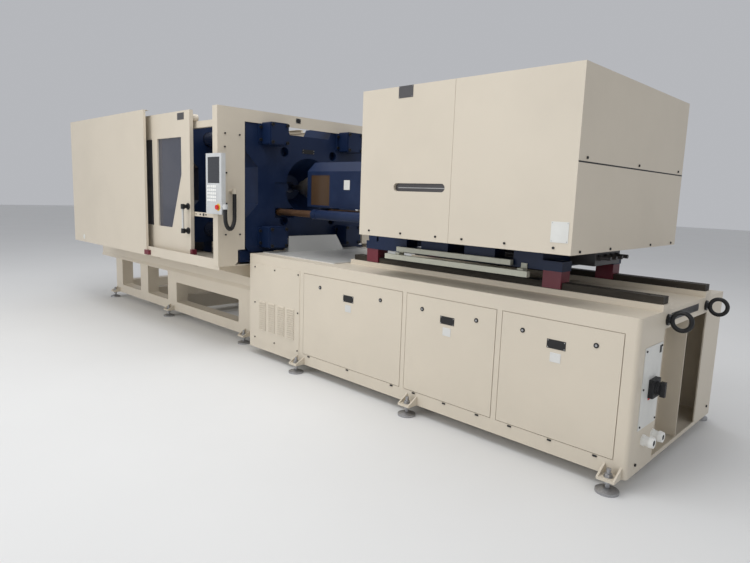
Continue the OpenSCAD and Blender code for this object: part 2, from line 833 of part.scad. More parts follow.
module base_rear_wall() {
    color(paint) difference() {
        block([0, -front_y - plate_t, foot_h], [base_len, -front_y, base_top]);
        // Ventilation slots of the power unit, as on such a rear side
        for (x = [0 : 1 : 2], z = [0 : 1 : 11])
            translate([500 + x * 260, -front_y - plate_t - 1, foot_h + 300 + z * 24])
                cube([180, plate_t + 2, 9]);
    }
}

module base_end_wall() {
    color(paint) {
        difference() {
            block([base_len - plate_t, front_y + corner_r, foot_h], [base_len, -front_y - plate_t, base_top]);
            translate([base_len - plate_t / 2, 10, foot_h + 25 + end_open_h / 2])
                cube([plate_t + 2, end_open_w, end_open_h], center = true);
            for (p = gland_places) bar_x([base_len - plate_t - 1, p[0], p[1]], 44.2, plate_t + 2);
        }
        // Inner end plate with its three rectangular holes
        difference() {
            block([base_len - 130, cabinet_y[0], cabinet_z[0]], [base_len - 122, cabinet_y[1], cabinet_z[1]]);
            for (i = [0 : 1 : 2]) translate([base_len - 131, -200, foot_h + 90 + i * 225])
                cube([10, slot_w - 30, 175]);
        }
        for (y = [cabinet_y[0], cabinet_y[1] - plate_t]) block([base_len - 122, y, cabinet_z[0]],
            [base_len - plate_t, y + plate_t, cabinet_z[1]]);
    }
}

// Plate that fills the base between its walls, from height z, with its corner inside the rounded one
module filling_plate(z) translate([0, 0, z]) linear_extrude(plate_t) {
    y = front_y + corner_r;
    translate([0, front_y + plate_t]) square([base_len - corner_r, base_w - 2 * plate_t]);
    translate([0, y]) square([base_len - plate_t, base_w - corner_r - plate_t]);
    translate([base_len - corner_r, y]) circle(corner_r - plate_t - fit);
}

module base_deck() {
    seat_from = base_len - rail_len - 40;
    color(paint) {
        filling_plate(base_top - plate_t);
        both_sides() difference() {
            block([seat_from, -rail_gauge / 2 - rail_foot_w / 2, base_top],
                [base_len, -rail_gauge / 2 + rail_foot_w / 2, rail_z]);
            block([seat_from + 6, -rail_gauge / 2 - rail_foot_w / 2 + 6, base_top - 1],
                [base_len - 6, -rail_gauge / 2 + rail_foot_w / 2 - 6, rail_z - 6]);
        }
    }
}

module base_inner() {
    inner = -front_y - plate_t;
    low = foot_h + plate_t;
    high = base_top - plate_t;
    color(paint) {
        filling_plate(foot_h);
        for (x = [0, door_x - 40, door_b_x - 30, door_c_x - 30])
            block([x, x == 0 ? -inner : 14 - inner, low], [x + plate_t, inner, high]);
        // Rear wall of the switch cabinet behind the two right doors
        block([door_b_x - 30 + plate_t, -200, low], [door_c_x - 30, -192, high]);
        block([door_c_x - 30 + plate_t, -370, low], [base_len - plate_t, -362, high]);
        // Oil tank behind the left door
        block([door_x + 120, -40, low], [door_b_x - 135, 620, foot_h + 560]);
    }
}

module louvre_panel() {
    x0 = louvre_x;
    z0 = louvre_z;
    color(paint) {
        difference() {
            upright(front_y - sheet_t, sheet_t) translate([x0, z0]) square([louvre_w, louvre_h]);
            for (c = [0 : 1 : louvre_cols - 1], r = [0 : 1 : louvre_rows - 1])
                translate([x0 + 118 + c * louvre_step, front_y - sheet_t - 1, z0 + 118 + r * louvre_pitch])
                    cube([louvre_len, sheet_t + 2, 6]);
            for (x = [49, louvre_w / 2, louvre_w - 20], z = [32, louvre_h / 2, louvre_h - 32])
                if (x != louvre_w / 2 || z != louvre_h / 2)
                    bar_y([x0 + x, front_y - sheet_t - 1, z0 + z], 7, sheet_t + 2);
        }
        // Pressed hoods over the slots
        for (c = [0 : 1 : louvre_cols - 1], r = [0 : 1 : louvre_rows - 1])
            translate([x0 + 118 + c * louvre_step, front_y - sheet_t, z0 + 118 + r * louvre_pitch])
                rotate([90, 0, 90]) linear_extrude(louvre_len) polygon([[0, 6], [0, 12], [-8, 2], [-8, 0]]);
    }
}

module carriage_rails() {
    left = base_len - 10 - rail_len;
    color([0.33, 0.29, 0.22]) both_sides() difference() {
        block([left, -rail_gauge / 2 - rail_w / 2, rail_z],
            [base_len - 10, -rail_gauge / 2 + rail_w / 2, rail_z + rail_h]);
        for (i = [0 : 1 : 9]) translate([left + 90 + i * (rail_len - 180) / 9, -rail_gauge / 2, rail_z + 26])
            cylinder(d = 24, h = rail_h);
    }
}

module main_switch_body() {
    x = base_len;
    plate = [x, front_y + 85, foot_h + 245];
    color([0.9, 0.9, 0.88]) difference() {
        translate(plate) cube([4, 250, 440]);
        for (y = [18, 232], z = [18, 220, 422]) bar_x([x - 1, plate[1] + y, plate[2] + z], 6, 6);
    }
    color(dark) translate([x + 4, plate[1] + 140, plate[2] + 210]) rotate([90, 0, 90]) {
        linear_extrude(26) round_rect(96, 96, 12);
        translate([0, 0, 26]) cylinder(d = 74, h = 8);
    }
}

module main_switch_handle() {
    x = base_len + 4 + 34 + fit;
    plate = [x, front_y + 85, foot_h + 245];
    color(dark) translate([x, plate[1] + 140, plate[2] + 210]) rotate([90, 0, 90]) {
        cylinder(d = 64, h = 10);
        translate([-11, -40, 10]) cube([22, 80, 26]);
    }
}

module cable_glands() {
    color([0.9, 0.9, 0.9]) for (p = gland_places)
        translate([base_len, p[0], p[1]]) rotate([0, 90, 0]) difference() {
            union() {
                cylinder(d = 66, h = 12, $fn = 6);
                translate([0, 0, 12]) cylinder(d = 52, h = 26);
                translate([0, 0, -plate_t - 14]) cylinder(d = 44, h = plate_t + 14);
                translate([0, 0, 38]) cylinder(d1 = 62, d2 = 56, h = 22);
            }
            translate([0, 0, -40]) cylinder(d = 32, h = 120);
        }
}

module lifting_eyes() {
    color(dark) both_sides() translate([base_len, -rail_gauge / 2 + 30, base_top - 52]) {
        rotate([0, 90, 0]) {
            cylinder(d = 62, h = 10);
            cylinder(d1 = 44, d2 = 30, h = 18);
        }
        translate([72, 0, 0]) rotate([90, 0, 0]) rotate_extrude()
            translate([eye_d / 2 - eye_bar / 2, 0]) circle(d = eye_bar, $fn = 20);
    }
}

// Feet as [x, y of the plate the bracket is welded to]
base_feet = [louvre_x + louvre_w + 22, door_b_x + 79, base_len - 72];
clamp_feet = [post_x + 60, window_c_x - mid_post_w / 2, -310];
foot_out = 62;
foot_ear_h = 48;

// One bracket: two ears and a bottom plate, open at the top, standing out from a wall at y
module foot_bracket(x, y) {
    w = 96;
    translate([x, y, foot_h]) difference() {
        union() {
            translate([-w / 2, -foot_out * 1.4, 0]) cube([w, foot_out * 1.4, 14]);
            for (s = [-w / 2, w / 2 - 10]) translate([s, 0, 14]) rotate([90, 0, 90]) linear_extrude(10)
                polygon([[0, 0], [0, foot_ear_h], [-foot_out * 1.4, 0]]);
        }
        translate([0, -foot_out * 0.75, -1]) cylinder(d = jack_d + 3, h = 20);
    }
}

module each_foot() {
    for (s = [-1, 1]) {
        for (x = base_feet) translate([x, s * base_w / 2, 0]) scale_side(s) children();
        for (x = clamp_feet) translate([x, s * clamp_w / 2, 0]) scale_side(s) children();
    }
}

// Turns a foot so that it stands out on its own side
module scale_side(s) rotate([0, 0, s > 0 ? 180 : 0]) children();

module foot_brackets() color(paint) each_foot() foot_bracket(0, 0);

module levelling_feet() {
    each_foot() translate([0, -foot_out * 0.75, 0]) {
        color(dark) cylinder(d = pad_d, h = pad_h / 2);
        color(dark) translate([0, 0, pad_h / 2]) cylinder(d1 = pad_d, d2 = jack_d * 2, h = pad_h / 2);
        color(steel) cylinder(d = jack_d, h = foot_h + 60);
        color(steel) translate([0, 0, foot_h + 14]) hex_head(jack_d);
        color(steel) translate([0, 0, foot_h]) mirror([0, 0, 1]) hex_head(jack_d);
    }
}

// Tube with n sides swept along a route; every ring stands square to the route, unturned about it
function unit(v) = v / norm(v);
function route_dir(r, i) = unit(r[min(i + 1, len(r) - 1)] - r[max(i - 1, 0)]);
function ring(c, dir, side, d, n) = let (v = unit(cross(dir, side)), u = cross(v, dir))
    [for (k = [0 : n - 1]) c + d / 2 * (cos(360 * k / n) * u + sin(360 * k / n) * v)];

module tube(route, d, n) {
    last = len(route) - 1;
    side = cross([0, 0, 1], route[last] - route[0]);
    rings = [for (i = [0 : last]) each ring(route[i], route_dir(route, i), side, d, n)];
    walls = [for (i = [0 : last - 1], k = [0 : n - 1]) let (a = i * n, b = a + n, m = (k + 1) % n)
        each [[a + k, a + m, b + m], [a + k, b + m, b + k]]];
    polyhedron(rings, concat([[for (k = [n - 1 : -1 : 0]) k]], walls, [[for (k = [0 : n - 1]) last * n + k]]));
}

module panel_conduit() color(dark) tube(conduit_route, conduit_d, 10);

module moving_platen() {
    color(navy) {
        difference() {
            translate([0, 0, axis_h]) crosswise(moving_x, moving_t) platen_outline();
            translate([0, 0, axis_h]) crosswise(moving_x + moving_t - 60, 61) mould_holes();
            for (y = [-1, 1], z = [-1, 1])
                bar_x([moving_x - 1, y * tie_y / 2, axis_h + z * tie_z / 2], tie_d + 6, moving_t + 2);
            bar_x([moving_x + moving_t - 25, 0, axis_h], locate_d, 26);
            // Ejector rod holes and the hollow that the ejector plate works in
            for (y = [-1, 1]) bar_x([moving_x + 100, y * 200, axis_h], 62, moving_t);
            translate([moving_x - 1, 0, axis_h]) rotate([0, 90, 0]) cylinder(d = 640, h = 221, $fn = 8);
            for (s = [-1, 1]) bar_x([moving_x - 1, s * traverse_y, axis_h], traverse_rod_d, 111);
        }
        // Shoes that slide on the ways
        both_sides() block([moving_x - shoe_lead, -way_y - way_w / 2 + 6, way_top + fit],
            [moving_x + moving_t - 40, -way_y + way_w / 2 - 6, axis_h - half_h]);
        // Ejector cylinder on its spider
        difference() {
            union() {
                bar_x([moving_x - ejector_len, 0, axis_h], ejector_d, ejector_len - 30);
                translate([moving_x - 30, -380, axis_h - 70]) cube([30, 760, 140]);
            }
            bar_x([moving_x - 60, 0, axis_h], 70 + 2 * fit, 61);
            bar_x([moving_x - ejector_len + 40, 0, axis_h], 130, ejector_len - 90);
        }
    }
}

module lock_housings() {
    color(navy) for (y = [-1, 1], z = [-1, 1])
        translate([moving_x - lock_t, y * tie_y / 2, axis_h + z * tie_z / 2])
        rotate([90, 0, 90]) difference() {
            union() {
                linear_extrude(lock_t) round_rect(280, 220, 30);
                translate([0, 0, lock_t - 40]) linear_extrude(40) round_rect(300, 238, 20);
            }
            translate([0, 0, -1]) cylinder(d = tie_d + 6, h = lock_t + 2);
        }
}

module traverse_rods() {
    piston = traverse_head - close_travel - 90;
    color(steel) traverse_seat() {
        bar_x([piston, 0, 0], traverse_rod_d, moving_x + 110 - piston);
        bar_x([piston, 0, 0], traverse_rod_d + 24 - 0.1, 30);
        bar_x([moving_x - 18, 0, 0], traverse_rod_d + 30, 18);
    }
}

module ejector_plate() {
    color(steel) {
        translate([moving_x + 30, 0, axis_h]) rotate([90, 0, 90]) linear_extrude(40) round_rect(540, 180, 20);
        for (y = [-1, 1]) bar_x([moving_x + 70, y * 200, axis_h], 60, 320);
        bar_x([moving_x - 250, 0, axis_h], 70, 281);
    }
}

// Outline of one gate window from its closing side at x = 0 towards -X
module pane_outline(slanted) {
    polygon(slanted ? [[-pane_w, 0], [-pane_slant_w, 0], [0, pane_slant_h], [0, pane_h], [-pane_w, pane_h]]
        : [[-pane_w, 0], [0, 0], [0, pane_h], [-pane_w, pane_h]]);
}

// Both gate windows, in X and Z
module pane_pair() {
    right = -gate_x - stile_w;
    translate([right, gate_z + pane_z]) pane_outline(true);
    translate([right - pane_w - mullion_w, gate_z + pane_z]) pane_outline(false);
}

module front_gate() {
    left = -gate_x - gate_w;
    color(paint) {
        difference() {
            pan(left, -gate_x, gate_z, gate_z + gate_h, -gate_reach, gate_t);
            upright(-gate_reach - 1, sheet_t + 2) pane_pair();
        }
        // Frames round the windows, behind the skin
        upright(-gate_reach + sheet_t, 12) difference() {
            for (x = [0, 1]) translate([-gate_x - stile_w - pane_w - x * (pane_w + mullion_w) - 26,
                gate_z + pane_z - 26]) square([pane_w + 52, pane_h + 52]);
            pane_pair();
        }
    }
    // Rollers behind the top edge, and the runners that straddle the sill's rail
    color(dark) for (x = [left + 120, -gate_x - 60]) {
        bar_y([x, -gate_reach + sheet_t, top_rail_z + 60 + fit + 35], 70, 105);
    }
    gate_runners();
}

// Blocks under a gate that straddle the guide rail on the shelf
module gate_runners() {
    y = gate_guide_y;
    for (x = [-gate_x - gate_w + 140, -gate_x - 200]) color(dark) difference() {
        block([x, y - 24, sill_z + 8], [x + 120, y + 24, gate_z]);
        block([x - 1, y - 8 - fit, sill_z + 7], [x + 121, y + 8 + fit, sill_z + guide_h + slide_gap]);
    }
}

module gate_panes() {
    color([0.3, 0.32, 0.42, 0.6]) for (i = [0, 1]) {
        x1 = -gate_x - stile_w - i * (pane_w + mullion_w) + 20;
        block([x1 - pane_w - 40, -gate_reach + sheet_t + 12, gate_z + pane_z - 20],
            [x1, -gate_reach + sheet_t + 12 + pane_t, gate_z + pane_z + pane_h + 20]);
    }
}

module gate_handle() {
    x = -gate_x - 40;
    z = gate_z + grip_z;
    y = -gate_reach;
    color(dark) for (dz = [0, grip_span]) {
        bar_y([x, y - 10, z + dz], 44, 10);
        bar_y([x, y - grip_reach, z + dz], 24, grip_reach - 10);
        translate([x, y - grip_reach, z + dz - 16]) cylinder(d = grip_d + 8, h = 32);
    }
    color(steel) translate([x, y - grip_reach, z + 16]) cylinder(d = grip_d, h = grip_span - 32);
}

module gate_shoe() {
    color(crimson) block([-gate_x, -gate_reach - 10, gate_z - 4],
        [-gate_x + 42, -gate_reach + 36, gate_z + 46]);
}

module rear_gate() {
    left = -gate_x - gate_w;
    color(paint) mirror([0, 1, 0]) {
        pan(left, -gate_x, gate_z, gate_z + gate_h, -gate_reach, gate_t);
        for (x = [left + 470, left + 940])
            block([x, -gate_reach + sheet_t, gate_z + sheet_t], [x + 40, -gate_reach + gate_t - 10,
                gate_z + gate_h - sheet_t]);
    }
    color(dark) mirror([0, 1, 0]) {
        for (x = [left + 120, -gate_x - 60])
            bar_y([x, -gate_reach + sheet_t, top_rail_z + 60 + fit + 35], 70, 105);
        gate_runners();
    }
}

sled_z = rail_z + 3 + shoe_h;
pillow = traction_d + 60;

module carriage_frame() {
    outer = rail_gauge / 2 + 60;
    right = sled_x + sled_len;
    lug = shoe_len + 10;
    color(navy) {
        both_sides() {
            difference() {
                block([sled_x + lug, -outer, sled_z], [right - lug, -outer + 120, sled_z + sled_h]);
                for (i = [0 : 1 : 2]) block([sled_x + 420 + i * 380, -outer - 1, sled_z + 40],
                    [sled_x + 560 + i * 380, -outer + 121, sled_z + sled_h - 40]);
            }
            // Lugs over the shoes
            for (x = [sled_x, right - lug])
                block([x, -outer, sled_z], [x + lug, -outer + 120, sled_z + sled_lug_h]);
        }
        for (x = [sled_x, sled_x + 560, right - lug - 120])
            block([x, -outer + 120, sled_z], [x + 120, outer - 120, sled_z + sled_h]);
        // Front block that holds the barrel, with its webs
        difference() {
            block([barrel_x, -380, sled_z + sled_h], [barrel_x + 160, 380, axis_h + 230]);
            bar_x([barrel_x - 1, 0, axis_h], barrel_d + 2 * fit, 162);
            for (s = [-1, 1]) bar_x([barrel_x - 1, s * rod_y, axis_h], inject_rod_d, 162);
        }
        both_sides() upright(-380, 30) polygon([[barrel_x + 160, sled_z + sled_h],
            [barrel_x + 420, sled_z + sled_h], [barrel_x + 160, axis_h]]);
        // Pillow blocks of the traction cylinders
        for (s = [-1, 1]) difference() {
            block([sled_x + 20, s * traction_y - pillow / 2, sled_z + sled_lug_h],
                [sled_x + 90, s * traction_y + pillow / 2, traction_z + pillow / 2]);
            bar_x([sled_x + 19, s * traction_y, traction_z], traction_d + 2 * fit, 72);
        }
    }
    // Posts that carry the cover, and the angles at the front corner
    color(paint) both_sides() {
        for (x = [shell_x + 60, right - lug - 80]) {
            block([x, -shell_reach + sheet_t, sled_z + sled_h], [x + 50, -outer + 60, sled_z + sled_h + 40]);
            block([x, -shell_reach + sheet_t, sled_z + sled_h + 40],
                [x + 50, -shell_reach + sheet_t + 40, shell_z + shell_h - 160]);
        }
        upright(-outer, 8) polygon([[sled_x + 10, shell_z + 20], [sled_x + 30, sled_z + sled_lug_h],
            [sled_x + 110, sled_z + sled_lug_h], [sled_x + 110, shell_z + 20]]);
    }
}

module rail_shoes() {
    color(crimson) both_sides() for (x = [sled_x + 5, sled_x + sled_len - shoe_len - 5]) difference() {
        block([x, -rail_gauge / 2 - 55, rail_z + 3], [x + shoe_len, -rail_gauge / 2 + 55, sled_z]);
        block([x - 1, -rail_gauge / 2 - rail_w / 2 - fit, rail_z], [x + shoe_len + 1,
            -rail_gauge / 2 + rail_w / 2 + fit, rail_z + rail_h + fit]);
    }
}

module transducer_bars() {
    outer = rail_gauge / 2 + 60;
    short = [sled_x + 360, 965];
    long = [sled_x + 290, 1182];
    color([0.68, 0.68, 0.6]) {
        block([short[0], -outer - 44, sled_z + 10], [short[0] + short[1], -outer - 10, sled_z + 44]);
        block([long[0], -outer - 92, sled_z - 46], [long[0] + long[1], -outer - 56, sled_z - 10]);
        for (x = [short[0] + 110, short[0] + short[1] - 80])
            block([x, -outer - 10, sled_z + 14], [x + 40, -outer, sled_z + 40]);
        // Brackets that reach back over the short bar's lower edge
        for (x = [long[0] + 70, long[0] + long[1] - 90]) {
            block([x, -outer - 56, sled_z - 40], [x + 40, -outer, sled_z]);
            block([x, -outer - 10, sled_z], [x + 40, -outer, sled_z + 30]);
        }
    }
}

module traction_cylinders() {
    neck = 60;
    bore = traction_d - 13;
    len = sled_x + 90 - traction_x;
    color(navy) for (s = [-1, 1]) translate([traction_x, s * traction_y, traction_z]) difference() {
        union() {
            bar_x([0, 0, 0], traction_d, len);
            bar_x([0, 0, 0], traction_d + 5, neck);
        }
        bar_x([-1, 0, 0], traction_rod_d + 0.1, len + 2);
        bar_x([neck, 0, 0], bore, len - neck - 50);
    }
}

// The carriage cover's front part: front, rear, top and left walls as one folded sheet
module cover_front_shell() {
    x0 = shell_x;
    x1 = shell_x + shell_split - 1;
    color(paint) difference() {
        block([x0, -shell_reach, shell_z], [x1, shell_reach, shell_z + shell_h]);
        block([x0 + sheet_t, -shell_reach + sheet_t, shell_z - 1], [x1 + 1, shell_reach - sheet_t,
            shell_z + shell_h - sheet_t]);
        // Passage for the barrel, the guard and the traction cylinders
        block([x0 - 1, -440, shell_z - 1], [x0 + sheet_t + 1, 440, axis_h + 260]);
        // Opening above the feed throat
        translate([throat_x - 120, -120, shell_z + shell_h - sheet_t - 1]) cube([240, 240, sheet_t + 2]);
        upright(-shell_reach - 1, sheet_t + 2) translate([x0 + 312 + view_slot_w / 2, shell_z + 333]) {
            square([view_slot_w - view_slot_h, view_slot_h], center = true);
            for (s = [-1, 1]) translate([s * (view_slot_w - view_slot_h) / 2, 0]) circle(d = view_slot_h);
        }
    }
    // Recessed backing of the slot
    color(dark) upright(-shell_reach + sheet_t, 20) translate([x0 + 312 + view_slot_w / 2, shell_z + 333])
        difference() {
            square([view_slot_w + 30, view_slot_h + 30], center = true);
            square([view_slot_w - view_slot_h, view_slot_h], center = true);
            for (s = [-1, 1]) translate([s * (view_slot_w - view_slot_h) / 2, 0]) circle(d = view_slot_h);
        }
}

module cover_rear_shell() {
    x0 = shell_x + shell_split + 1;
    x1 = shell_x + shell_len - sheet_t;
    color(paint) {
        difference() {
            block([x0, -shell_reach, shell_z], [x1, shell_reach, shell_z + shell_h]);
            block([x0 - 1, -shell_reach + sheet_t, shell_z - 1], [x1 + 1, shell_reach - sheet_t,
                shell_z + shell_h - sheet_t]);
        }
        // Joggle strip under the seam with the front shell
        for (s = [0, 1]) mirror([0, s, 0])
            block([x0 - 22, -shell_reach + sheet_t, shell_z + 4], [x0 + 20, -shell_reach + 2 * sheet_t,
                shell_z + shell_h - 2 * sheet_t]);
    }
}

module cover_end_panels() {
    x = shell_x + shell_len - sheet_t;
    color(paint) {
        block([x, -shell_reach, shell_z], [x + sheet_t, shell_reach, shell_z + seam_h - 1]);
        block([x, -shell_reach, shell_z + seam_h + 1], [x + sheet_t, shell_reach, shell_z + shell_h]);
        for (z = [shell_z + 6, shell_z + seam_h - 20])
            block([x - 22, -shell_reach + 2 * sheet_t + 1, z], [x, shell_reach - 2 * sheet_t - 1, z + 40]);
    }
}

module barrel() {
    nose = nozzle_x + 230;
    bands = floor((barrel_x - 60 - nose) / band_pitch);
    color(steel) difference() {
        union() {
            bar_x([nose, 0, axis_h], barrel_d, barrel_x + 340 - nose);
            bar_x([nose - 80, 0, axis_h], barrel_d - 50, 81);
            translate([nozzle_x, 0, axis_h]) rotate([0, 90, 0]) cylinder(d1 = 46, d2 = 62, h = 151);
            // Heater bands
            for (i = [0 : 1 : bands - 1])
                bar_x([nose + 30 + i * band_pitch, 0, axis_h], barrel_d + 24, band_w);
            // Feed throat with the flange for a hopper
            translate([throat_x - 75, -75, axis_h]) cube([150, 150, throat_h - 20]);
            translate([throat_x - 100, -100, axis_h + throat_h - 20]) cube([200, 200, 20]);
        }
        bar_x([nozzle_x - 1, 0, axis_h], 8, 160);
        bar_x([nozzle_x + 155, 0, axis_h], screw_d + 1, barrel_x + 400 - nozzle_x);
        translate([throat_x, 0, axis_h]) cylinder(d = throat_d, h = throat_h + 1);
        for (x = [-1, 1], y = [-1, 1]) translate([throat_x + x * 75, y * 75, axis_h + throat_h - 24])
            cylinder(d = 13, h = 30);
    }
}

module screw() {
    start = nozzle_x + 160;
    color(steel) {
        translate([start, 0, axis_h]) rotate([0, 90, 0]) cylinder(d1 = 10, d2 = screw_root, h = 60);
        bar_x([start + 60, 0, axis_h], screw_root, yoke_x + 50 - start - 60);
        for (x = [start + 80 : screw_d : barrel_x + 330]) bar_x([x, 0, axis_h], screw_d, 14);
    }
}

// Rods between the front block and the yoke, with their nuts
module injection_rods() {
    color(steel) for (s = [-1, 1]) {
        bar_x([barrel_x, s * rod_y, axis_h], inject_rod_d, yoke_x + yoke_t + inject_travel + 60 - barrel_x);
        bar_x([barrel_x - 40, s * rod_y, axis_h], inject_rod_d + 44, 40);
    }
}

module injection_drive() {
    back = yoke_x + yoke_t;
    color(navy) {
        difference() {
            union() {
                block([yoke_x, -360, sled_z + sled_h + 10], [back, 360, axis_h + 150]);
                // Hydraulic cylinders round the rods
                for (s = [-1, 1]) bar_x([yoke_x - 130, s * rod_y, axis_h], 150, 130);
                // Motor with its ports
                bar_x([back, 0, axis_h], 280, 150);
                bar_x([back + 150, 0, axis_h], 210, 90);
                for (s = [-1, 1]) translate([back + 75, s * 60, axis_h + 100]) cylinder(d = 50, h = 80);
                for (s = [-1, 1]) translate([yoke_x - 20, s * 330 - 30, sled_z + sled_h + fit])
                    cube([yoke_t + 40, 60, 20]);
            }
            bar_x([yoke_x - 1, 0, axis_h], screw_root + 0.1, 61);
            for (s = [-1, 1]) bar_x([yoke_x - 131, s * rod_y, axis_h], inject_rod_d + 2 * fit, yoke_t + 132);
        }
    }
}

module guard_outline(t) {
    w = guard_w / 2 - t;
    up = guard_up - t;
    c = guard_chamfer;
    low = t > 0 ? -guard_down - 1 : -guard_down;
    polygon([[-w, low], [w, low], [w, up - c], [w - c, up], [-w + c, up], [-w, up - c]]);
}

// Line of the guard's hinge
guard_hinge = [guard_w / 2 + 16, axis_h - guard_down + 14];
guard_window_z = axis_h - guard_window_h / 2 - 23;
knuckles = [guard_x + 60, guard_x + guard_len / 2 - 35, guard_x + guard_len - 130];

module nozzle_guard() {
    t = 4;
    color(navy) difference() {
        union() {
            translate([0, 0, axis_h]) crosswise(guard_x, guard_len) guard_outline(0);
            for (x = knuckles) {
                bar_x([x, guard_hinge[0], guard_hinge[1]], 28, 70);
                block([x, guard_w / 2, guard_hinge[1] - 14], [x + 70, guard_hinge[0], guard_hinge[1] + 14]);
            }
        }
        translate([0, 0, axis_h]) crosswise(guard_x - 1, guard_len + 2) guard_outline(t);
        for (s = [-1, 1]) translate([guard_x + 52, s * guard_w / 2 - 10, guard_window_z])
            cube([guard_window_w, 20, guard_window_h]);
        for (x = knuckles) bar_x([x - 1, guard_hinge[0], guard_hinge[1]], hinge_d + 0.1, 72);
    }
    color([0.45, 0.3, 0.15, 0.6]) for (s = [-1, 1])
        translate([guard_x + 42, s * (guard_w / 2 - t - 2.5) - 2.5, guard_window_z - 10])
            cube([guard_window_w + 20, 5, guard_window_h + 20]);
}

// Rod that the guard is hinged on, with its arm from the fixed platen
module guard_rail() {
    back = -platen_back - pocket_t;
    color(steel) {
        bar_x([back, guard_hinge[0], guard_hinge[1]], hinge_d, guard_x + guard_len - 40 - back);
        bar_x([back, guard_hinge[0], guard_hinge[1]], 44, guard_x - back - 1);
    }
}

// One access door with its stiffener
module access_door(d) {
    color(paint) difference() {
        union() {
            block([d[0], front_y - 1, door_low], [d[0] + d[1], front_y + plate_t - fit, door_low + door_h]);
            block([d[0] + d[1] / 2 - 40, front_y + plate_t - fit, door_low + 50],
                [d[0] + d[1] / 2 + 40, front_y + plate_t + 20, door_low + door_h - 70]);
        }
        block([d[0] + d[1] / 2 - 37, front_y + plate_t - fit, door_low + 49],
            [d[0] + d[1] / 2 + 37, front_y + plate_t + 17, door_low + door_h - 69]);
        for (x = lock_places(d)) bar_y([x, front_y - 2, lock_z], 16.1, plate_t + 4);
    }
}

function lock_places(d) = [d[0] + d[2], d[0] + d[1] - d[2]];

module door_left() access_door(doors[0]);
module door_middle() access_door(doors[1]);
module door_right() access_door(doors[2]);

// Quarter-turn lock: head, shank and cam; the cam lies flat while the door is free
module door_lock(x, side) {
    color(dark) {
        difference() {
            bar_y([x, front_y - 1 - 4, lock_z], lock_d, 4 - 0.2);
            block([x - 9, front_y - 6, lock_z - 1.5], [x + 9, front_y - 3, lock_z + 1.5]);
        }
        bar_y([x, front_y - 1.2, lock_z], 16, plate_t + 6 + 1.5);
        translate([x, front_y + plate_t + 6 + fit, lock_z]) rotate([-90, 0, 0]) linear_extrude(4) {
            circle(d = 22);
            translate([side > 0 ? 0 : -cam_len, -8]) square([cam_len, 16]);
        }
    }
}

module lock_1() door_lock(lock_places(doors[0])[0], 1);
module lock_2() door_lock(lock_places(doors[0])[1], -1);
module lock_3() door_lock(lock_places(doors[1])[0], 1);
module lock_4() door_lock(lock_places(doors[1])[1], -1);
module lock_5() door_lock(lock_places(doors[2])[0], 1);
module lock_6() door_lock(lock_places(doors[2])[1], -1);

module operator_panel() {
    front = panel_back - panel_t;
    gland = conduit_route[len(conduit_route) - 1];
    color([0.25, 0.26, 0.28]) {
        difference() {
            block([panel_x, front, panel_z], [panel_x + panel_w, panel_back, panel_z + panel_h]);
            block([panel_x + 30, front - 1, panel_z + 260], [panel_x + panel_w - 30, front + 4,
                panel_z + panel_h - 30]);
            bar_y([panel_x + panel_w - 50, front - 1, panel_z + 60], 24, 20);
        }
        // Knuckles on top of the portal's, with their pins
        for (z = hinge_zs) {
            translate([panel_pivot[0], panel_pivot[1], z + 40 + fit]) {
                cylinder(d = panel_gap - 2, h = 40);
                translate([-4, -panel_gap / 2, 0]) cube([8, panel_gap / 2, 40]);
                translate([0, 0, -40 - fit]) cylinder(d = panel_gap / 2, h = 41);
            }
        }
        // Elbow that the conduit enters from below
        bar_x([panel_x + panel_w, gland[1], gland[2] + elbow_drop / 2], 30, gland[0] - panel_x - panel_w);
        translate(gland) cylinder(d = conduit_d + 8, h = elbow_drop);
    }
}

module stop_button() {
    x = panel_x + panel_w - 50;
    front = panel_back - panel_t;
    color([0.75, 0.05, 0.05]) {
        bar_y([x, front - 22, panel_z + 60], stop_d, 14);
        bar_y([x, front - 9, panel_z + 60], 23.8, 9 + 19 - stop_travel - 1);
    }
}

place() clamp_frame();
place() platen_ways();
place() fixed_platen();
place() piston_caps();
place() tie_bars();
place() traverse_cylinders();
place() front_clamp_cover();
place() rear_clamp_cover();
place() clamp_end_guard();
place() portal_cover();
place() gate_tracks();
place() purge_tray();
place() guard_rail();
place() traction_rods();
place() base_front_wall();
place() base_rear_wall();
place() base_end_wall();
place() base_deck();
place() base_inner();
place() louvre_panel();
place() carriage_rails();
place() main_switch_body();
place() cable_glands();
place() lifting_eyes();
place() foot_brackets();
place() levelling_feet();
place() panel_conduit();
place() moving_platen();
place() lock_housings();
place() traverse_rods();
place() ejector_plate();
place() front_gate();
place() gate_panes();
place() gate_handle();
place() gate_shoe();
place() rear_gate();
place() carriage_frame();
place() rail_shoes();
place() transducer_bars();
place() traction_cylinders();
place() cover_front_shell();
place() cover_rear_shell();
place() cover_end_panels();
place() barrel();
place() injection_rods();
place() injection_drive();
place() screw();
place() nozzle_guard();
place() door_left();
place() door_middle();
place() door_right();
place() lock_1();
place() lock_2();
place() lock_3();
place() lock_4();
place() lock_5();
place() lock_6();
place() main_switch_handle();
place() operator_panel();
place() stop_button();
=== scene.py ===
# %% [markdown] # An injection moulding machine, dressed for its portrait The construction comes
# packed, with every piece at its real size. This lesson gives the pieces their finish, adds the
# small things that make a machine look real, and sets the camera and the light. The big forms could
# be modelled again by hand, but they would drift from the construction, so the packed pieces are
# used as they are.

# %% Load the packed machine
import bpy
import bmesh
from math import radians, sin, cos, pi
from mathutils import Matrix, Vector


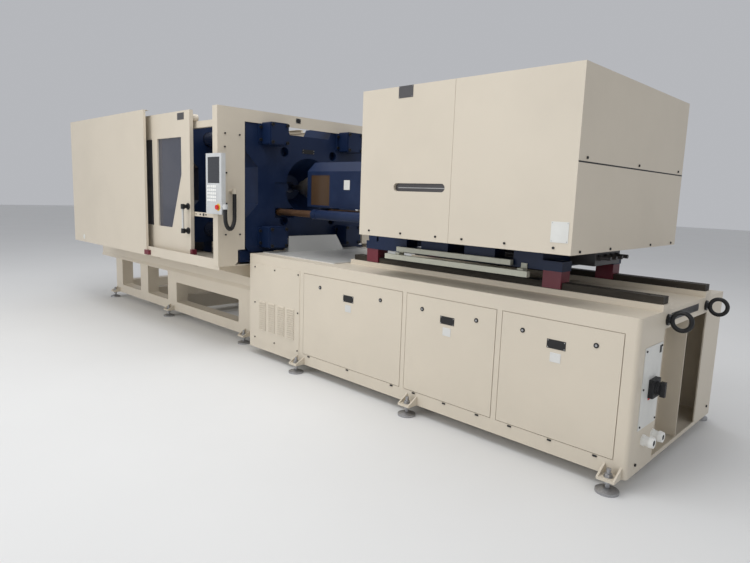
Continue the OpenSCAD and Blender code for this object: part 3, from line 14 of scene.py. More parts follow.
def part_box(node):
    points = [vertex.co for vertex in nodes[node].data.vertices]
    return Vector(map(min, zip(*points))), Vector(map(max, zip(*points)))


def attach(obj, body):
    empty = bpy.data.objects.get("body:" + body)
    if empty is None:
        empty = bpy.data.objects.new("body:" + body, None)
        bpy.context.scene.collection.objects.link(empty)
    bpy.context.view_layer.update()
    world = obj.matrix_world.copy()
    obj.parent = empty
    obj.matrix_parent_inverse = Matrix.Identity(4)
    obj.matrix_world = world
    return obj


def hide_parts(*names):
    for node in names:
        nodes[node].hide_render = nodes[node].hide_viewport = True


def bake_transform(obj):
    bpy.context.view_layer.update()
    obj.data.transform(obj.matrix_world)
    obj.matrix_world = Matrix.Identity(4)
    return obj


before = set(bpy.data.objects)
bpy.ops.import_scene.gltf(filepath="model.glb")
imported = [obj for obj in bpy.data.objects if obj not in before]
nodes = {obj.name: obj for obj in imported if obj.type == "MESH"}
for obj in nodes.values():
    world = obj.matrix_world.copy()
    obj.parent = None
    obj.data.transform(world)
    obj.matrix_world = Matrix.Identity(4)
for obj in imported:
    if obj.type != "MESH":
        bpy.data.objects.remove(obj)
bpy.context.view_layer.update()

# %% [markdown]
# ## One frame for all places
# The machine was drawn with X = 0 at the left end of the injection base, but the packed frame has
# its origin under the middle of the whole machine. Every number below could be moved by hand. One
# function is safer: it turns a drawn place in millimetres into a place in metres in the packed
# frame, so that the numbers read as on the drawing.

# %% Places on the drawing
base_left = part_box("base_deck")[0].x
middle = (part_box("base_deck")[0].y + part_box("base_deck")[1].y) / 2


def at(x, y, z):
    """A place on the drawing, in millimetres, as a place in the packed frame, in metres."""
    return Vector((base_left + x / 1000, middle + y / 1000, z / 1000))


print("drawing's zero lies at", tuple(round(c, 4) for c in at(0, 0, 0)))

# %% [markdown]
# ## The camera
# The photograph was taken about a metre to the right of the machine's end, at the height of a
# person's chest, looking along the machine at 44 degrees. A lens of 27.7 mm on a 36 mm sensor gives
# its perspective. It leans by two degrees, so the camera is rolled by as much. A camera could be
# aimed with a Track To constraint, but that keeps it level, so its three axes are reckoned and
# written as a matrix.

# %% Camera where the photograph was taken
LENS, SENSOR, FAR = 27.67, 36, 200
EYE = at(4428, -3627, 1478)
LOOK = Vector((-0.6913, 0.7071, -0.1485)).normalized()
ROLL = radians(1.953)
camera_data = bpy.data.cameras.new("camera")
camera_data.lens = LENS
camera_data.sensor_width = SENSOR
camera_data.clip_end = FAR
camera = bpy.data.objects.new("camera", camera_data)
bpy.context.scene.collection.objects.link(camera)
bpy.context.scene.camera = camera
level_right = LOOK.cross(Vector((0, 0, 1))).normalized()
level_up = level_right.cross(LOOK)
right = level_right * cos(ROLL) + level_up * sin(ROLL)
up = level_up * cos(ROLL) - level_right * sin(ROLL)
turn = Matrix((right, up, -LOOK)).transposed().to_4x4()
camera.matrix_world = Matrix.Translation(EYE) @ turn
print("camera at", tuple(round(c, 3) for c in camera.location))

# %% [markdown]
# ## A socket that can be reckoned with
# A material is a graph of nodes. It could be wired with a line of script for each link, but then a
# sum is hard to read. So a small class wraps the output of a node, and a sum on it is written as a
# sum, which adds its Math node. Every other kind of node comes from one method, which takes the
# node's settings first and then what goes into its sockets.

# %% The class for shader sums


class Wire:
    """A value on its way through a material's nodes."""

    def __init__(self, tree, socket=None):
        self.tree = tree
        self.socket = socket

    def node(self, kind, settings, values, output=0):
        """Adds a node: its settings come first, then the values or wires of its inputs."""
        new = self.tree.nodes.new("ShaderNode" + kind)
        for name, value in settings.items():
            setattr(new, name, value)
        for name, value in values.items():
            if isinstance(value, Wire):
                self.tree.links.new(value.socket, new.inputs[name])
            else:
                new.inputs[name].default_value = value
        return Wire(self.tree, new.outputs[output])

    def __add__(self, other):
        return self.node("Math", {"operation": "ADD"}, {0: self, 1: other})

    def __mul__(self, other):
        return self.node("Math", {"operation": "MULTIPLY"}, {0: self, 1: other})

    __radd__ = __add__  # the order of the two doesn't matter to a sum or a product
    __rmul__ = __mul__


print("a wire knows", [name for name in vars(Wire) if name.startswith("__")])

# %% [markdown]
# ## Materials from short recipes
# Each finish is a function that gets the place on the object as a wire and returns what goes into
# the Principled shader. The place could come from UV maps, but the packed pieces have none. Object
# coordinates need no unwrapping, and as every object here sits at the origin, they are metres in
# the packed frame, so a pattern keeps its real size on every piece.

# %% The maker of materials


def finish(name, recipe):
    """A new material from a recipe that turns the place on the object into the shader's inputs."""
    material = bpy.data.materials.new(name)
    material.use_nodes = True
    tree = material.node_tree
    shader = tree.nodes["Principled BSDF"]
    place = Wire(tree).node("TexCoord", {}, {}, "Object")
    for socket, value in recipe(place).items():
        if isinstance(value, Wire):
            tree.links.new(value.socket, shader.inputs[socket])
        else:
            shader.inputs[socket].default_value = value
    return material


print("a recipe goes into", finish.__name__)

# %% [markdown]
# ## Five things that every recipe needs
# Wear, dust and grain are noise at different sizes. Noise that is stretched along one axis becomes
# brush lines or turning marks. What the noise does is set by two limits between which it runs, by
# two colours that it mixes, or by a bump that catches the light. Each is one node, given a name
# that says its use.

# %% Noise, limits, mixed colours and bumps


def stretch(place, x, y, z):
    """The place with each axis scaled, for patterns that run one way."""
    return place.node("Mapping", {}, {"Vector": place, "Scale": (x, y, z)})


def noise(place, scale, detail=3, roughness=0.55):
    """Noise from 0 to 1 with about scale humps to the metre."""
    values = {"Vector": place, "Scale": scale, "Detail": detail, "Roughness": roughness}
    return place.node("TexNoise", {}, values)


def between(mask, low, high, start=0.0, end=1.0):
    """Numbers from low to high as the mask goes from start to end."""
    return mask.node("MapRange", {}, {0: mask, 1: start, 2: end, 3: low, 4: high})


def blend(mask, first, second):
    """The first colour where the mask is 0, and the second where it is 1."""
    colours = {0: mask, 6: (*first, 1), 7: (*second, 1)}
    return mask.node("Mix", {"data_type": "RGBA"}, colours, 2)


def bump(height, distance, strength=1.0):
    """A normal that follows the height."""
    return height.node("Bump", {}, {"Height": height, "Distance": distance, "Strength": strength})


print("recipes can use", ", ".join(f.__name__ for f in (stretch, noise, between, blend, bump)))

# %% [markdown]
# ## Powder coat, the colour of cream
# Most of the machine is sheet steel under a warm off-white powder coat. Up close it has the fine
# ripple that painters call orange peel. From a step away its tone wanders a little, and it greys
# slightly towards the floor. One flat colour would look like plastic, so the tone follows a wide
# noise, and the height above the floor greys its lowest half metre in patches.

# %% Powder coat
CREAM = (0.648, 0.580, 0.472)
GREYED_CREAM = (0.54, 0.485, 0.397)


def powder_coat(place):
    cloud = noise(place, 1.6, detail=4)
    height = place.node("SeparateXYZ", {}, {0: place}, "Z")
    # greyer in patches below half a metre, most at the floor
    low = between(height, 0.55, 0.0, start=0.05, end=0.5)
    greying = between(cloud, 0.0, 0.35, start=0.4, end=0.75) + low * noise(place, 9, detail=5)
    peel = noise(place, 420, detail=2)
    return {"Base Color": blend(greying, CREAM, GREYED_CREAM), "Roughness": between(cloud, 0.36, 0.48),
            "Normal": bump(peel, 0.0006, 0.25)}


cream = finish("powder_coat", powder_coat)
print("made", cream.name)

# %% [markdown]
# ## Navy enamel on castings
# The platens and the carriage are castings and thick plates under a dark blue enamel. A casting
# keeps the grain of its sand mould under the paint. The grain could be sculpted, but it is finer
# than any mesh here, so it is a bump, coarser than the powder coat's, and the gloss is uneven as on
# brushed paint.

# %% Navy enamel
NAVY = (0.004, 0.014, 0.050)
NAVY_WORN = (0.012, 0.026, 0.072)
DULL = 0.3  # the shine of dark paint, below the shader's usual 0.5, which would turn it grey


def navy_enamel(place):
    grain = noise(place, 160, detail=4, roughness=0.6)
    patch = noise(place, 5)
    worn = between(patch, 0.0, 0.8, start=0.45, end=0.8)
    return {"Base Color": blend(worn, NAVY, NAVY_WORN), "Roughness": between(patch, 0.34, 0.52),
            "Normal": bump(grain, 0.0012, 0.35), "Specular IOR Level": DULL}


navy = finish("navy_enamel", navy_enamel)
print("made", navy.name)

# %% [markdown]
# ## Ground bars and brushed sheet
# Where things slide, paint would not last, so the metal is bare. The tie bars are ground round,
# which leaves fine rings across them under a thin film of oil. The purge tray is brushed sheet,
# whose lines run along it. Both are noise stretched the way the tool went: the scale is high across
# the marks and low along them.

# %% Ground bars and brushed sheet
GROUND = (0.60, 0.60, 0.61)
FILM_OF_OIL = (0.42, 0.40, 0.36)
BRUSHED = (0.66, 0.66, 0.64, 1)


def ground_bar(place):
    rings = noise(stretch(place, 900, 6, 6), 1, detail=2)
    film = between(noise(place, 7), 0.0, 0.6, start=0.4, end=0.8)
    return {"Base Color": blend(film, GROUND, FILM_OF_OIL), "Metallic": 1.0,
            "Roughness": between(rings, 0.16, 0.30)}


def brushed_sheet(place):
    lines = noise(stretch(place, 6, 700, 700), 1, detail=2)
    return {"Base Color": BRUSHED, "Metallic": 0.55, "Roughness": between(lines, 0.38, 0.52),
            "Normal": bump(lines, 0.0004, 0.2)}


bar_steel = finish("ground_bar", ground_bar)
sheet_steel = finish("brushed_sheet", brushed_sheet)
print("made", bar_steel.name, "and", sheet_steel.name)

# %% [markdown]
# ## Steel that has been at work
# The traction rods are brown with old grease, and the carriage rails are dark with oil. The
# levelling feet are galvanised, which shows as small crystals, so their pattern is made of cells.
# The barrel is tinted by its heaters. Each colour runs between clean and used, and a noise decides
# where it is which.

# %% Greasy rods, oiled rails, zinc and hot steel


def greasy_rod(place):
    grease = noise(stretch(place, 3, 14, 14), 1, detail=4)
    mask = between(grease, 0.0, 1.0, start=0.35, end=0.7)
    return {"Base Color": blend(mask, (0.20, 0.11, 0.06), (0.09, 0.05, 0.03)), "Metallic": 0.6,
            "Roughness": between(grease, 0.3, 0.5)}


def oiled_rail(place):
    stain = noise(stretch(place, 4, 30, 30), 1, detail=5)
    mask = between(stain, 0.0, 1.0, start=0.35, end=0.7)
    return {"Base Color": blend(mask, (0.052, 0.045, 0.035), (0.024, 0.020, 0.016)),
            "Roughness": between(stain, 0.45, 0.65), "Specular IOR Level": 0.15}


def galvanised(place):
    spangle = place.node("TexVoronoi", {}, {"Vector": place, "Scale": 160}, "Distance")
    return {"Base Color": blend(spangle, (0.30, 0.30, 0.31), (0.46, 0.46, 0.47)), "Metallic": 0.9,
            "Roughness": between(spangle, 0.35, 0.55)}


def barrel_steel(place):
    heat = noise(place, 14, detail=4)
    mask = between(heat, 0.0, 1.0, start=0.35, end=0.7)
    return {"Base Color": blend(mask, (0.50, 0.48, 0.45), (0.34, 0.27, 0.20)), "Metallic": 1.0,
            "Roughness": between(heat, 0.3, 0.5)}


grease_steel = finish("greasy_rod", greasy_rod)
rail_steel = finish("oiled_rail", oiled_rail)
zinc = finish("galvanised", galvanised)
hot_steel = finish("barrel_steel", barrel_steel)
print("made", grease_steel.name, rail_steel.name, zinc.name, hot_steel.name)

# %% [markdown]
# ## Plastics and small paints
# Small fittings come moulded, or in a paint of their own. Each could have a recipe of its own, but
# they differ only in colour and gloss. So one function makes their recipes: a colour with a fine
# moulded grain and a little wear.

# %% Plastics and small paints
GRAIN_DEPTH = 0.0004


def grained(colour, low, high):
    """A recipe for a fine-grained plastic or paint with a roughness from low to high."""
    def recipe(place):
        grain = noise(place, 700, detail=2)
        wear = noise(place, 12)
        lighter = tuple(min(1, c * 1.25 + 0.01) for c in colour)
        shine = DULL if max(colour) < 0.05 else 0.5
        return {"Base Color": blend(wear, colour, lighter), "Roughness": between(wear, low, high),
                "Normal": bump(grain, GRAIN_DEPTH, 0.3), "Specular IOR Level": shine}
    return recipe


black_plastic = finish("black_plastic", grained((0.012, 0.012, 0.013), 0.42, 0.6))
black_enamel = finish("black_enamel", grained((0.010, 0.010, 0.011), 0.28, 0.42))
white_plastic = finish("white_plastic", grained((0.78, 0.78, 0.75), 0.3, 0.42))
crimson = finish("crimson_paint", grained((0.12, 0.006, 0.018), 0.35, 0.5))
grey_green = finish("grey_green", grained((0.50, 0.50, 0.41), 0.35, 0.5))
panel_grey = finish("panel_grey", grained((0.50, 0.51, 0.51), 0.4, 0.55))
plate_white = finish("plate_white", grained((0.60, 0.60, 0.57), 0.32, 0.45))
slate = finish("slate_plastic", grained((0.055, 0.052, 0.055), 0.3, 0.45))
light_grey = finish("light_grey", grained((0.50, 0.50, 0.48), 0.3, 0.42))
signal_red = finish("signal_red", grained((0.55, 0.012, 0.012), 0.22, 0.32))
yellow = finish("yellow_plastic", grained((0.62, 0.42, 0.02), 0.3, 0.42))
print("made", len(bpy.data.materials), "materials so far")

# %% [markdown]
# ## Sheets that can be looked through
# The gate's panes are tinted polycarbonate, which shows a little of what lies behind. Real
# refraction would need thickness and many bounces of light, so a partly clear surface does it more
# simply. The nozzle guard is glazed with amber sheet, and the screen of the panel is glass over
# black. Both are dark enough to need no clearness at all.

# %% Smoked panes, amber sheet and screen glass


def smoked(place):
    smear = noise(place, 4)
    return {"Base Color": blend(smear, (0.062, 0.066, 0.088), (0.086, 0.090, 0.112)),
            "Roughness": between(smear, 0.05, 0.12), "Alpha": 0.87}


def amber(place):
    smear = noise(place, 5)
    return {"Base Color": blend(smear, (0.052, 0.029, 0.014), (0.082, 0.046, 0.022)),
            "Roughness": between(smear, 0.12, 0.25)}


def glass(place):
    smear = noise(place, 8)
    return {"Base Color": (0.012, 0.015, 0.020, 1), "Roughness": between(smear, 0.05, 0.14),
            "Coat Weight": 0.6}


smoked_sheet = finish("smoked_sheet", smoked)
amber_sheet = finish("amber_sheet", amber)
screen_glass = finish("screen_glass", glass)
print("made", smoked_sheet.name, amber_sheet.name, screen_glass.name)

# %% [markdown]
# ## Who wears what
# The packed model has a node for each piece or group of pieces. A line for each node would be long
# and easy to get wrong, so one table lists the nodes under their finish. Everything that it doesn't
# name is sheet metal or weldment, and gets the powder coat.

# %% Give every node its finish
finishes = {
    navy: ["fixed_platen", "piston_caps", "traverse_cylinders", "moving_platen", "lock_housings",
           "carriage_frame", "traction_cylinders", "injection_drive", "nozzle_guard"],
    grease_steel: ["traction_rods"],
    bar_steel: ["tie_bars", "traverse_rods", "injection_rods", "screw", "ejector_plate",
                "guard_rail", "platen_ways"],
    sheet_steel: ["purge_tray"],
    rail_steel: ["carriage_rails"],
    white_plastic: ["cable_glands"],
    plate_white: ["main_switch_body"],
    black_enamel: ["lifting_eyes"] + [f"lock_{n}" for n in range(1, 7)],
    zinc: ["levelling_feet"],
    black_plastic: ["panel_conduit", "gate_handle", "main_switch_handle"],
    smoked_sheet: ["gate_panes"],
    crimson: ["gate_shoe", "rail_shoes"],
    grey_green: ["transducer_bars"],
    hot_steel: ["barrel"],
    panel_grey: ["operator_panel"],
    signal_red: ["stop_button"],
}
finish_of = {name: material for material, names in finishes.items() for name in names}
for name, node in nodes.items():
    node.data.materials.clear()
    node.data.materials.append(finish_of.get(name, cream))
print(len(finish_of), "nodes have a finish of their own, the rest are cream")

# %% [markdown]
# ## Blocks with broken edges
# Small parts on a machine are milled, and no milled edge is left sharp. A Bevel modifier could
# round them, but an operator does it once and for all in the mesh. The tool adds one block to a
# mesh that is being built, so that many pieces can share an object. Places are in drawing
# millimetres, as everywhere.

# %% The tool for blocks


def soften(form, edges, width, steps):
    """Rounds the edges by a width in millimetres."""
    bmesh.ops.bevel(form, geom=list(edges), offset=width / 1000, offset_type="OFFSET",
                    segments=steps, profile=0.5, affect="EDGES", material=-1, clamp_overlap=True)


def block(form, low, high, rounding=1.0, steps=2):
    """A block between two corners, with every edge rounded."""
    a, b = at(*low), at(*high)
    place = Matrix.Translation((a + b) / 2) @ Matrix.Diagonal((*(b - a), 1))
    made = bmesh.ops.create_cube(form, size=1, matrix=place)["verts"]
    soften(form, {e for v in made for e in v.link_edges}, rounding, steps)


print("tools:", soften.__name__, block.__name__)

# %% [markdown]
# ## Discs and screws
# Turned parts are discs: caps, pipes, rivets and, with six sides, nuts. A socket screw is a disc
# with a recess for its key. The recess could be cut with a Boolean, but insetting the far face
# twice, the second time with depth, leaves a cleaner mesh.

# %% The tools for discs and screws
DIRECTIONS = {"+x": (1, 0, 0), "+y": (0, 1, 0), "-y": (0, -1, 0), "+z": (0, 0, 1)}
NEAR = 1e-6  # metres within which a vertex lies on the rim


def disc(form, base, towards, d, depth, rounding=1.0, sides=28, recess=0.0):
    """A round piece that grows from its base, with its far rim rounded, and a recess if wanted."""
    axis = Vector(DIRECTIONS[towards])
    spin = Vector((0, 0, 1)).rotation_difference(axis).to_matrix().to_4x4()
    place = Matrix.Translation(at(*base) + axis * depth / 2000) @ spin
    made = bmesh.ops.create_cone(form, cap_ends=True, segments=sides, radius1=d / 2000,
                                 radius2=d / 2000, depth=depth / 1000, matrix=place)["verts"]
    if recess:
        ends = [f for f in {f for v in made for f in v.link_faces} if len(f.verts) == sides]
        far = max(ends, key=lambda f: (f.calc_center_median() - at(*base)).dot(axis))
        bmesh.ops.inset_region(form, faces=[far], thickness=d * 0.24 / 1000)
        bmesh.ops.inset_region(form, faces=[far], thickness=d * 0.012 / 1000, depth=-recess / 1000)
    top = depth / 1000 - NEAR
    rim = {e for v in made for e in v.link_edges
           if all(w in made and (w.co - at(*base)).dot(axis) > top for w in e.verts)}
    soften(form, rim, rounding, 2)


def screw(form, base, towards, d, depth):
    """A screw's head, with a recess for the key."""
    disc(form, base, towards, d, depth, d * 0.10, 24, recess=depth * 0.5)


print("tools:", disc.__name__, screw.__name__)

# %% [markdown] ## From a built mesh to an object A mesh under construction isn't seen. It becomes
# an object with a finish, and the object rides on the body that carries the piece, so that it moves
# with its joint. Screws come in rows, so a second tool makes one object of many screws.

# %% The tools that make objects


def grown(name, form, material, body):
    """The object that the built mesh becomes, with its finish, riding on its body."""
    bmesh.ops.recalc_face_normals(form, faces=form.faces)
    mesh = bpy.data.meshes.new(name)
    form.to_mesh(mesh)
    form.free()
    mesh.materials.append(material)
    made = bpy.data.objects.new(name, mesh)
    bpy.context.scene.collection.objects.link(made)
    if body:
        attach(made, body)
    return made


def screw_rows(name, body, *rows):
    """One object of black screws. A row is its places, direction, width and height of head."""
    form = bmesh.new()
    for places, towards, d, depth in rows:
        for place in places:
            screw(form, place, towards, d, depth)
    grown(name, form, black_enamel, body)
    print(name, "has", sum(len(row[0]) for row in rows), "screws")


print("tools:", grown.__name__, screw_rows.__name__)

# %% [markdown]
# ## The conduit between the portal and the operator panel
# The panel hangs on hinges, so its wires come in a corrugated plastic conduit that leaves an elbow
# on the portal straight down, makes one slack loop and rises into the panel's elbow. The loop lets
# the panel swivel. A curve with a bevel could follow the route, but it has no ribs. So the route is
# cut into even stations first, two millimetres apart.

# %% The conduit's route
ROUTE = [(0, -880, 1444), (0, -880, 1410), (0, -880, 1370), (0, -880, 1330), (0, -880, 1290),
         (0, -880, 1250), (4, -885, 1213), (14, -899, 1183), (29, -920, 1160), (49, -947, 1148),
         (69, -975, 1148), (88, -1001, 1160), (104, -1023, 1183), (114, -1037, 1213),
         (118, -1042, 1250), (118, -1042, 1282), (118, -1042, 1315)]
STATION = 0.002
FINE = 40  # steps between two given places, before they are evened out


def even_line(points, step):
    """Points one step apart along a soft curve through the given ones."""
    given = [at(*p) for p in points]
    dense = []
    for i in range(len(given) - 1):
        p0, p1, p2 = given[max(i - 1, 0)], given[i], given[i + 1]
        p3 = given[min(i + 2, len(given) - 1)]
        for k in range(FINE):
            t = k / FINE
            dense.append(0.5 * (2 * p1 + (p2 - p0) * t + (2 * p0 - 5 * p1 + 4 * p2 - p3) * t * t
                                + (3 * p1 - p0 - 3 * p2 + p3) * t ** 3))
    dense.append(given[-1])
    even, gone = [dense[0]], 0.0
    for a, b in zip(dense[:-1], dense[1:]):
        gone += (b - a).length
        if gone >= step:
            even.append(b)
            gone = 0.0
    even[-1] = given[-1]
    return even


line = even_line(ROUTE, STATION)
conduit_length = sum((b - a).length for a, b in zip(line[:-1], line[1:]))
print("conduit is", round(conduit_length, 3), "m long, with", len(line), "stations")

# %% [markdown]
# ## The conduit's ribs
# A corrugated conduit is blown into a ribbed mould. It is built the same way round: a ring of edges
# is extruded from station to station along the route, each a little wider or narrower than the
# last, four stations to a rib. The section is carried along without twist, by taking from its side
# direction what points along the route.

# %% One ring after another
CONDUIT_D = 0.036
RIB = 0.008
RIPPLE = 0.0010
RING_SIDES = 20
form = bmesh.new()
side = Vector((1, 0, 0))
before = None
for i, point in enumerate(line):
    along = (line[min(i + 1, len(line) - 1)] - line[max(i - 1, 0)]).normalized()
    side = (side - along * side.dot(along)).normalized()
    radius = CONDUIT_D / 2 - RIPPLE + RIPPLE * cos(2 * pi * i * STATION / RIB)
    facing = Matrix((side, along.cross(side), along)).transposed().to_4x4()
    place = Matrix.Translation(point) @ facing @ Matrix.Scale(radius, 4)
    if before is None:
        ring = bmesh.ops.create_circle(form, segments=RING_SIDES, radius=1, cap_ends=True,
                                       matrix=place)["verts"]
        edges = list({e for v in ring for e in v.link_edges})
    else:
        new = bmesh.ops.extrude_edge_only(form, edges=edges)["geom"]
        ring = [g for g in new if isinstance(g, bmesh.types.BMVert)]
        edges = [g for g in new
                 if isinstance(g, bmesh.types.BMEdge) and all(v in ring for v in g.verts)]
        bmesh.ops.transform(form, matrix=place @ before.inverted(), verts=ring)
    before = place
bmesh.ops.contextual_create(form, geom=edges)
for face in form.faces:
    face.smooth = True
conduit = grown("conduit", form, black_plastic, None)
print("conduit has", len(conduit.data.polygons), "faces")

# %% [markdown] ## The conduit in place The conduit keeps the place that its route gives it, from
# the portal's elbow to the panel's, and the packed conduit is hidden.

# %% The built conduit takes the place of the packed one
at(8, -880, 1200)
at(112, -880, 1200)
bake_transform(conduit)
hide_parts("panel_conduit")
at(*ROUTE[0])
print("conduit hangs between the portal and the panel")

# %% [markdown]
# ## Screws that hold the sheet metal
# Sheet-metal covers are held by black socket screws along their edges. Their spacing is what a
# fitter needs to reach a screw and to keep the seam closed, about three hundred millimetres. A
# texture could show them, but real heads catch the light and cast a small shadow.

# %% Screws on the portal and the injection cover
PORTAL_FACE = -60
SHELL_SIDE = 800
SHELL_END = 3070
PORTAL_SCREWS = [(-935, 1958), (-791, 1956), (-939, 1845), (-924, 1624), (-925, 1358), (-933, 1088),
                 (-789, 1088)]
SHELL_SCREWS = (1590, 1882, 2176, 2377, 2673, 2971)
screw_rows("portal_screws", "root",
           ([(PORTAL_FACE, s * y, z) for y, z in PORTAL_SCREWS for s in (1, -1)], "+x", 15, 8))
screw_rows("cover_screws_front", "carriage",
           ([(x, -SHELL_SIDE, 1233) for x in SHELL_SCREWS], "-y", 14, 5),
           ([(x, SHELL_SIDE, z) for x in SHELL_SCREWS for z in (1233, 2120)], "+y", 14, 5))
screw_rows("cover_screws_end", "carriage",
           ([(SHELL_END, y, 1705) for y in (-705, 0, 709)], "+x", 15, 6),
           ([(SHELL_END, y, 1216) for y in (-700, -310, 322, 712)], "+x", 15, 6))

# %% [markdown]
# ## Screws on the base
# The louvre panel at the base's left end is screwed on all round. At the right end, six small
# screws hold the main switch's plate, and two big ones the wall itself. The louvre panel's screws
# stand in three columns and three rows without the middle place, so they are reckoned and not
# listed.

# %% Screws on the louvre panel and the end wall
LOUVRE_FACE = -723
END_FACE = 3430
SWITCH_FACE = 3434
LOUVRE_MIDDLE = (383, 487.5)
LOUVRE_SCREWS = [(x, z) for x in (87, 383, 708) for z in (167, 487.5, 808)
                 if (x, z) != LOUVRE_MIDDLE]
screw_rows("base_screws", "root",
           ([(x, LOUVRE_FACE, z) for x, z in LOUVRE_SCREWS], "-y", 13, 5),
           ([(SWITCH_FACE, y, z) for z in (333, 535, 737) for y in (-617, -403)], "+x", 11, 4),
           ([(END_FACE, -615, 125), (END_FACE, 640, 140)], "+x", 16, 7))

# %% [markdown]
# ## Bare plates with rivets
# A machine carries engraved plates. Here they stay bare: thin sheets with a rivet near each corner,
# which say enough from a step away. One tool makes plate and rivets together, facing the way that
# is asked.

# %% The tool for plates
RIVET_INSET = 7
RIVET_D = 5
RIVET_HEIGHT = 1.5


def plate(form, rivets, low, high, towards):
    """A thin plate, and a rivet near each of its corners."""
    block(form, low, high, 0.6, 1)
    across = 0 if "y" in towards else 1
    for first in (low[across] + RIVET_INSET, high[across] - RIVET_INSET):
        for z in (low[2] + RIVET_INSET, high[2] - RIVET_INSET):
            spot = (high[0], first, z) if across else (first, low[1], z)
            disc(rivets, spot, towards, RIVET_D, RIVET_HEIGHT, 0.6, 12)


print("tool:", plate.__name__)

# %% [markdown]
# ## What each access door carries
# Each door has a dark anodised plate with a pale one below it, and three small catches under its
# lower edge hold it. The plates ride on the door, and the catches stay on the base when it tilts
# out. As the doors differ only in place, a loop makes all three.

# %% Plates and catches of the doors
DOOR_FACE = -721
DOORS = {"door_left": (1313, (856, 1321, 1783)), "door_middle": (2243, (1990, 2250, 2508)),
         "door_right": (2993, (2740, 2997, 3260))}
for door, (x, catches) in DOORS.items():
    dark, bright, hold = bmesh.new(), bmesh.new(), bmesh.new()
    plate(dark, bright, (x - 56, DOOR_FACE - 2, 673), (x + 56, DOOR_FACE, 724), "-y")
    plate(bright, bright, (x - 32, DOOR_FACE - 1.4, 598), (x + 32, DOOR_FACE, 652), "-y")
    grown(door + "_plate", dark, black_enamel, door)
    grown(door + "_rivets", bright, sheet_steel, door)
    for c in catches:
        block(hold, (c - 12, -726, 144), (c + 12, -720, 154), 1.2)
        screw(hold, (c, -726, 149), "-y", 7, 2)
    grown(door + "_catches", hold, black_enamel, "root")
print("plates and catches on", ", ".join(DOORS))

# %% [markdown]
# ## Plates on the end wall, the castings and the guard
# The end wall has one long plate over its opening. The fixed platen carries two, one above its cone
# and one near its top, and the nozzle guard a pale one on its side. A helper makes each pair of
# plates and rivets, because a plate and its rivets have finishes of their own.

# %% More plates


def plates(name, material, rivet_name, rivet_material, body, *spots):
    """One object of plates and one of their rivets. A spot is its two corners and its direction."""
    form, rivets = bmesh.new(), bmesh.new()
    for low, high, towards in spots:
        plate(form, rivets, low, high, towards)
    grown(name, form, material, body)
    grown(rivet_name, rivets, rivet_material, body)
    print(name, "has", len(spots), "and", rivet_name, 4 * len(spots))


plates("end_plate", black_enamel, "end_plate_rivets", sheet_steel, "root",
       ((END_FACE, -290, 855), (END_FACE + 3, 190, 897), "+x"))
plates("casting_plates", black_enamel, "casting_rivets", sheet_steel, "root",
       ((-70, -88, 1848), (-66.5, 58, 1888), "+x"), ((-60, -177, 2122), (-58, -121, 2166), "+x"))
plates("guard_plate", plate_white, "guard_rivets", sheet_steel, "nozzle_guard",
       ((694, -232.5, 1512), (768, -230, 1594), "-y"))
plates("gate_plate", slate, "gate_rivets", zinc, "front_gate",
       ((-905, -942, 2118), (-775, -940, 2182), "-y"))

# %% [markdown]
# ## Plates on the injection cover, and the clamp cover's cap
# The injection cover has a dark plate at its upper left and a pale one at its lower right. They
# differ in finish but share their rivets. A round cap closes a hole at the corner of the clamp
# cover.

# %% Two plates and a cap
dark, pale, rivets = bmesh.new(), bmesh.new(), bmesh.new()
plate(dark, rivets, (1822, -SHELL_SIDE - 2, 2096), (1944, -SHELL_SIDE, 2170), "-y")
plate(pale, rivets, (2950, -SHELL_SIDE - 2, 1262), (3050, -SHELL_SIDE, 1372), "-y")
grown("cover_plate_dark", dark, slate, "carriage")
grown("cover_plate_pale", pale, plate_white, "carriage")
grown("cover_plate_rivets", rivets, zinc, "carriage")
CAP_X, CAP_Y, CAP_Z, CAP_THICK = -3255, -1020, 838, 4
form = bmesh.new()
disc(form, (CAP_X, CAP_Y, CAP_Z), "-y", 58, CAP_THICK, 1.5, 36)
screw(form, (CAP_X, CAP_Y - CAP_THICK, CAP_Z), "-y", 24, 3)
grown("corner_cap", form, plate_white, "root")
print("two plates on the injection cover and a cap on the clamp cover")

# %% [markdown]
# ## Dark seams, gland mouths and lock inserts
# The end cover is split across its middle, and a rubber strip closes the seam. The cable glands are
# still empty, so a black disc in each mouth paints the shade inside it. Each quarter-turn lock has
# a bright insert for its key.
# Their places could be typed, but where the packed model has a box, the fitting takes its depth
# from there.

# %% Seam strip, gland mouths and lock inserts


def drawn(corner):
    """A place in the packed frame as a place on the drawing, in millimetres."""
    return (corner.x - base_left) * 1000, (corner.y - middle) * 1000, corner.z * 1000


form = bmesh.new()
block(form, (3069, -798, 1678), (3070.8, 798, 1686), 0.4)
grown("end_seam", form, black_plastic, "carriage")
gland_end = drawn(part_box("cable_glands")[1])[0]
form = bmesh.new()
# black discs, painted shade in the open mouths of the empty glands
for y, z in [(-540, 242), (-400, 235)]:
    disc(form, (gland_end - 1, y, z), "+x", 27, 1.6, 0.5)
grown("gland_mouth_shade", form, black_plastic, "root")
LOCKS = (986, 1648, 2034, 2464, 2783, 3215)
LOCK_HEIGHT = 741
for n, x in enumerate(LOCKS, 1):
    form = bmesh.new()
    lock_face = drawn(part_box(f"lock_{n}")[0])[1]
    screw(form, (x, lock_face, LOCK_HEIGHT), "-y", 13, 1.6)
    grown(f"lock_{n}_insert", form, zinc, f"lock_{n}")
print("glands end at X =", round(gland_end), "mm, and", len(LOCKS), "locks have inserts")

# %% [markdown]
# ## The main switch
# The rotary main switch sits over a red mark, so that it is found at once. Its black body is a
# block with a round collar, which stays still while the handle turns on it. A small dark plate sits
# above. All three are stock parts, so blocks and a disc with rounded edges say enough.

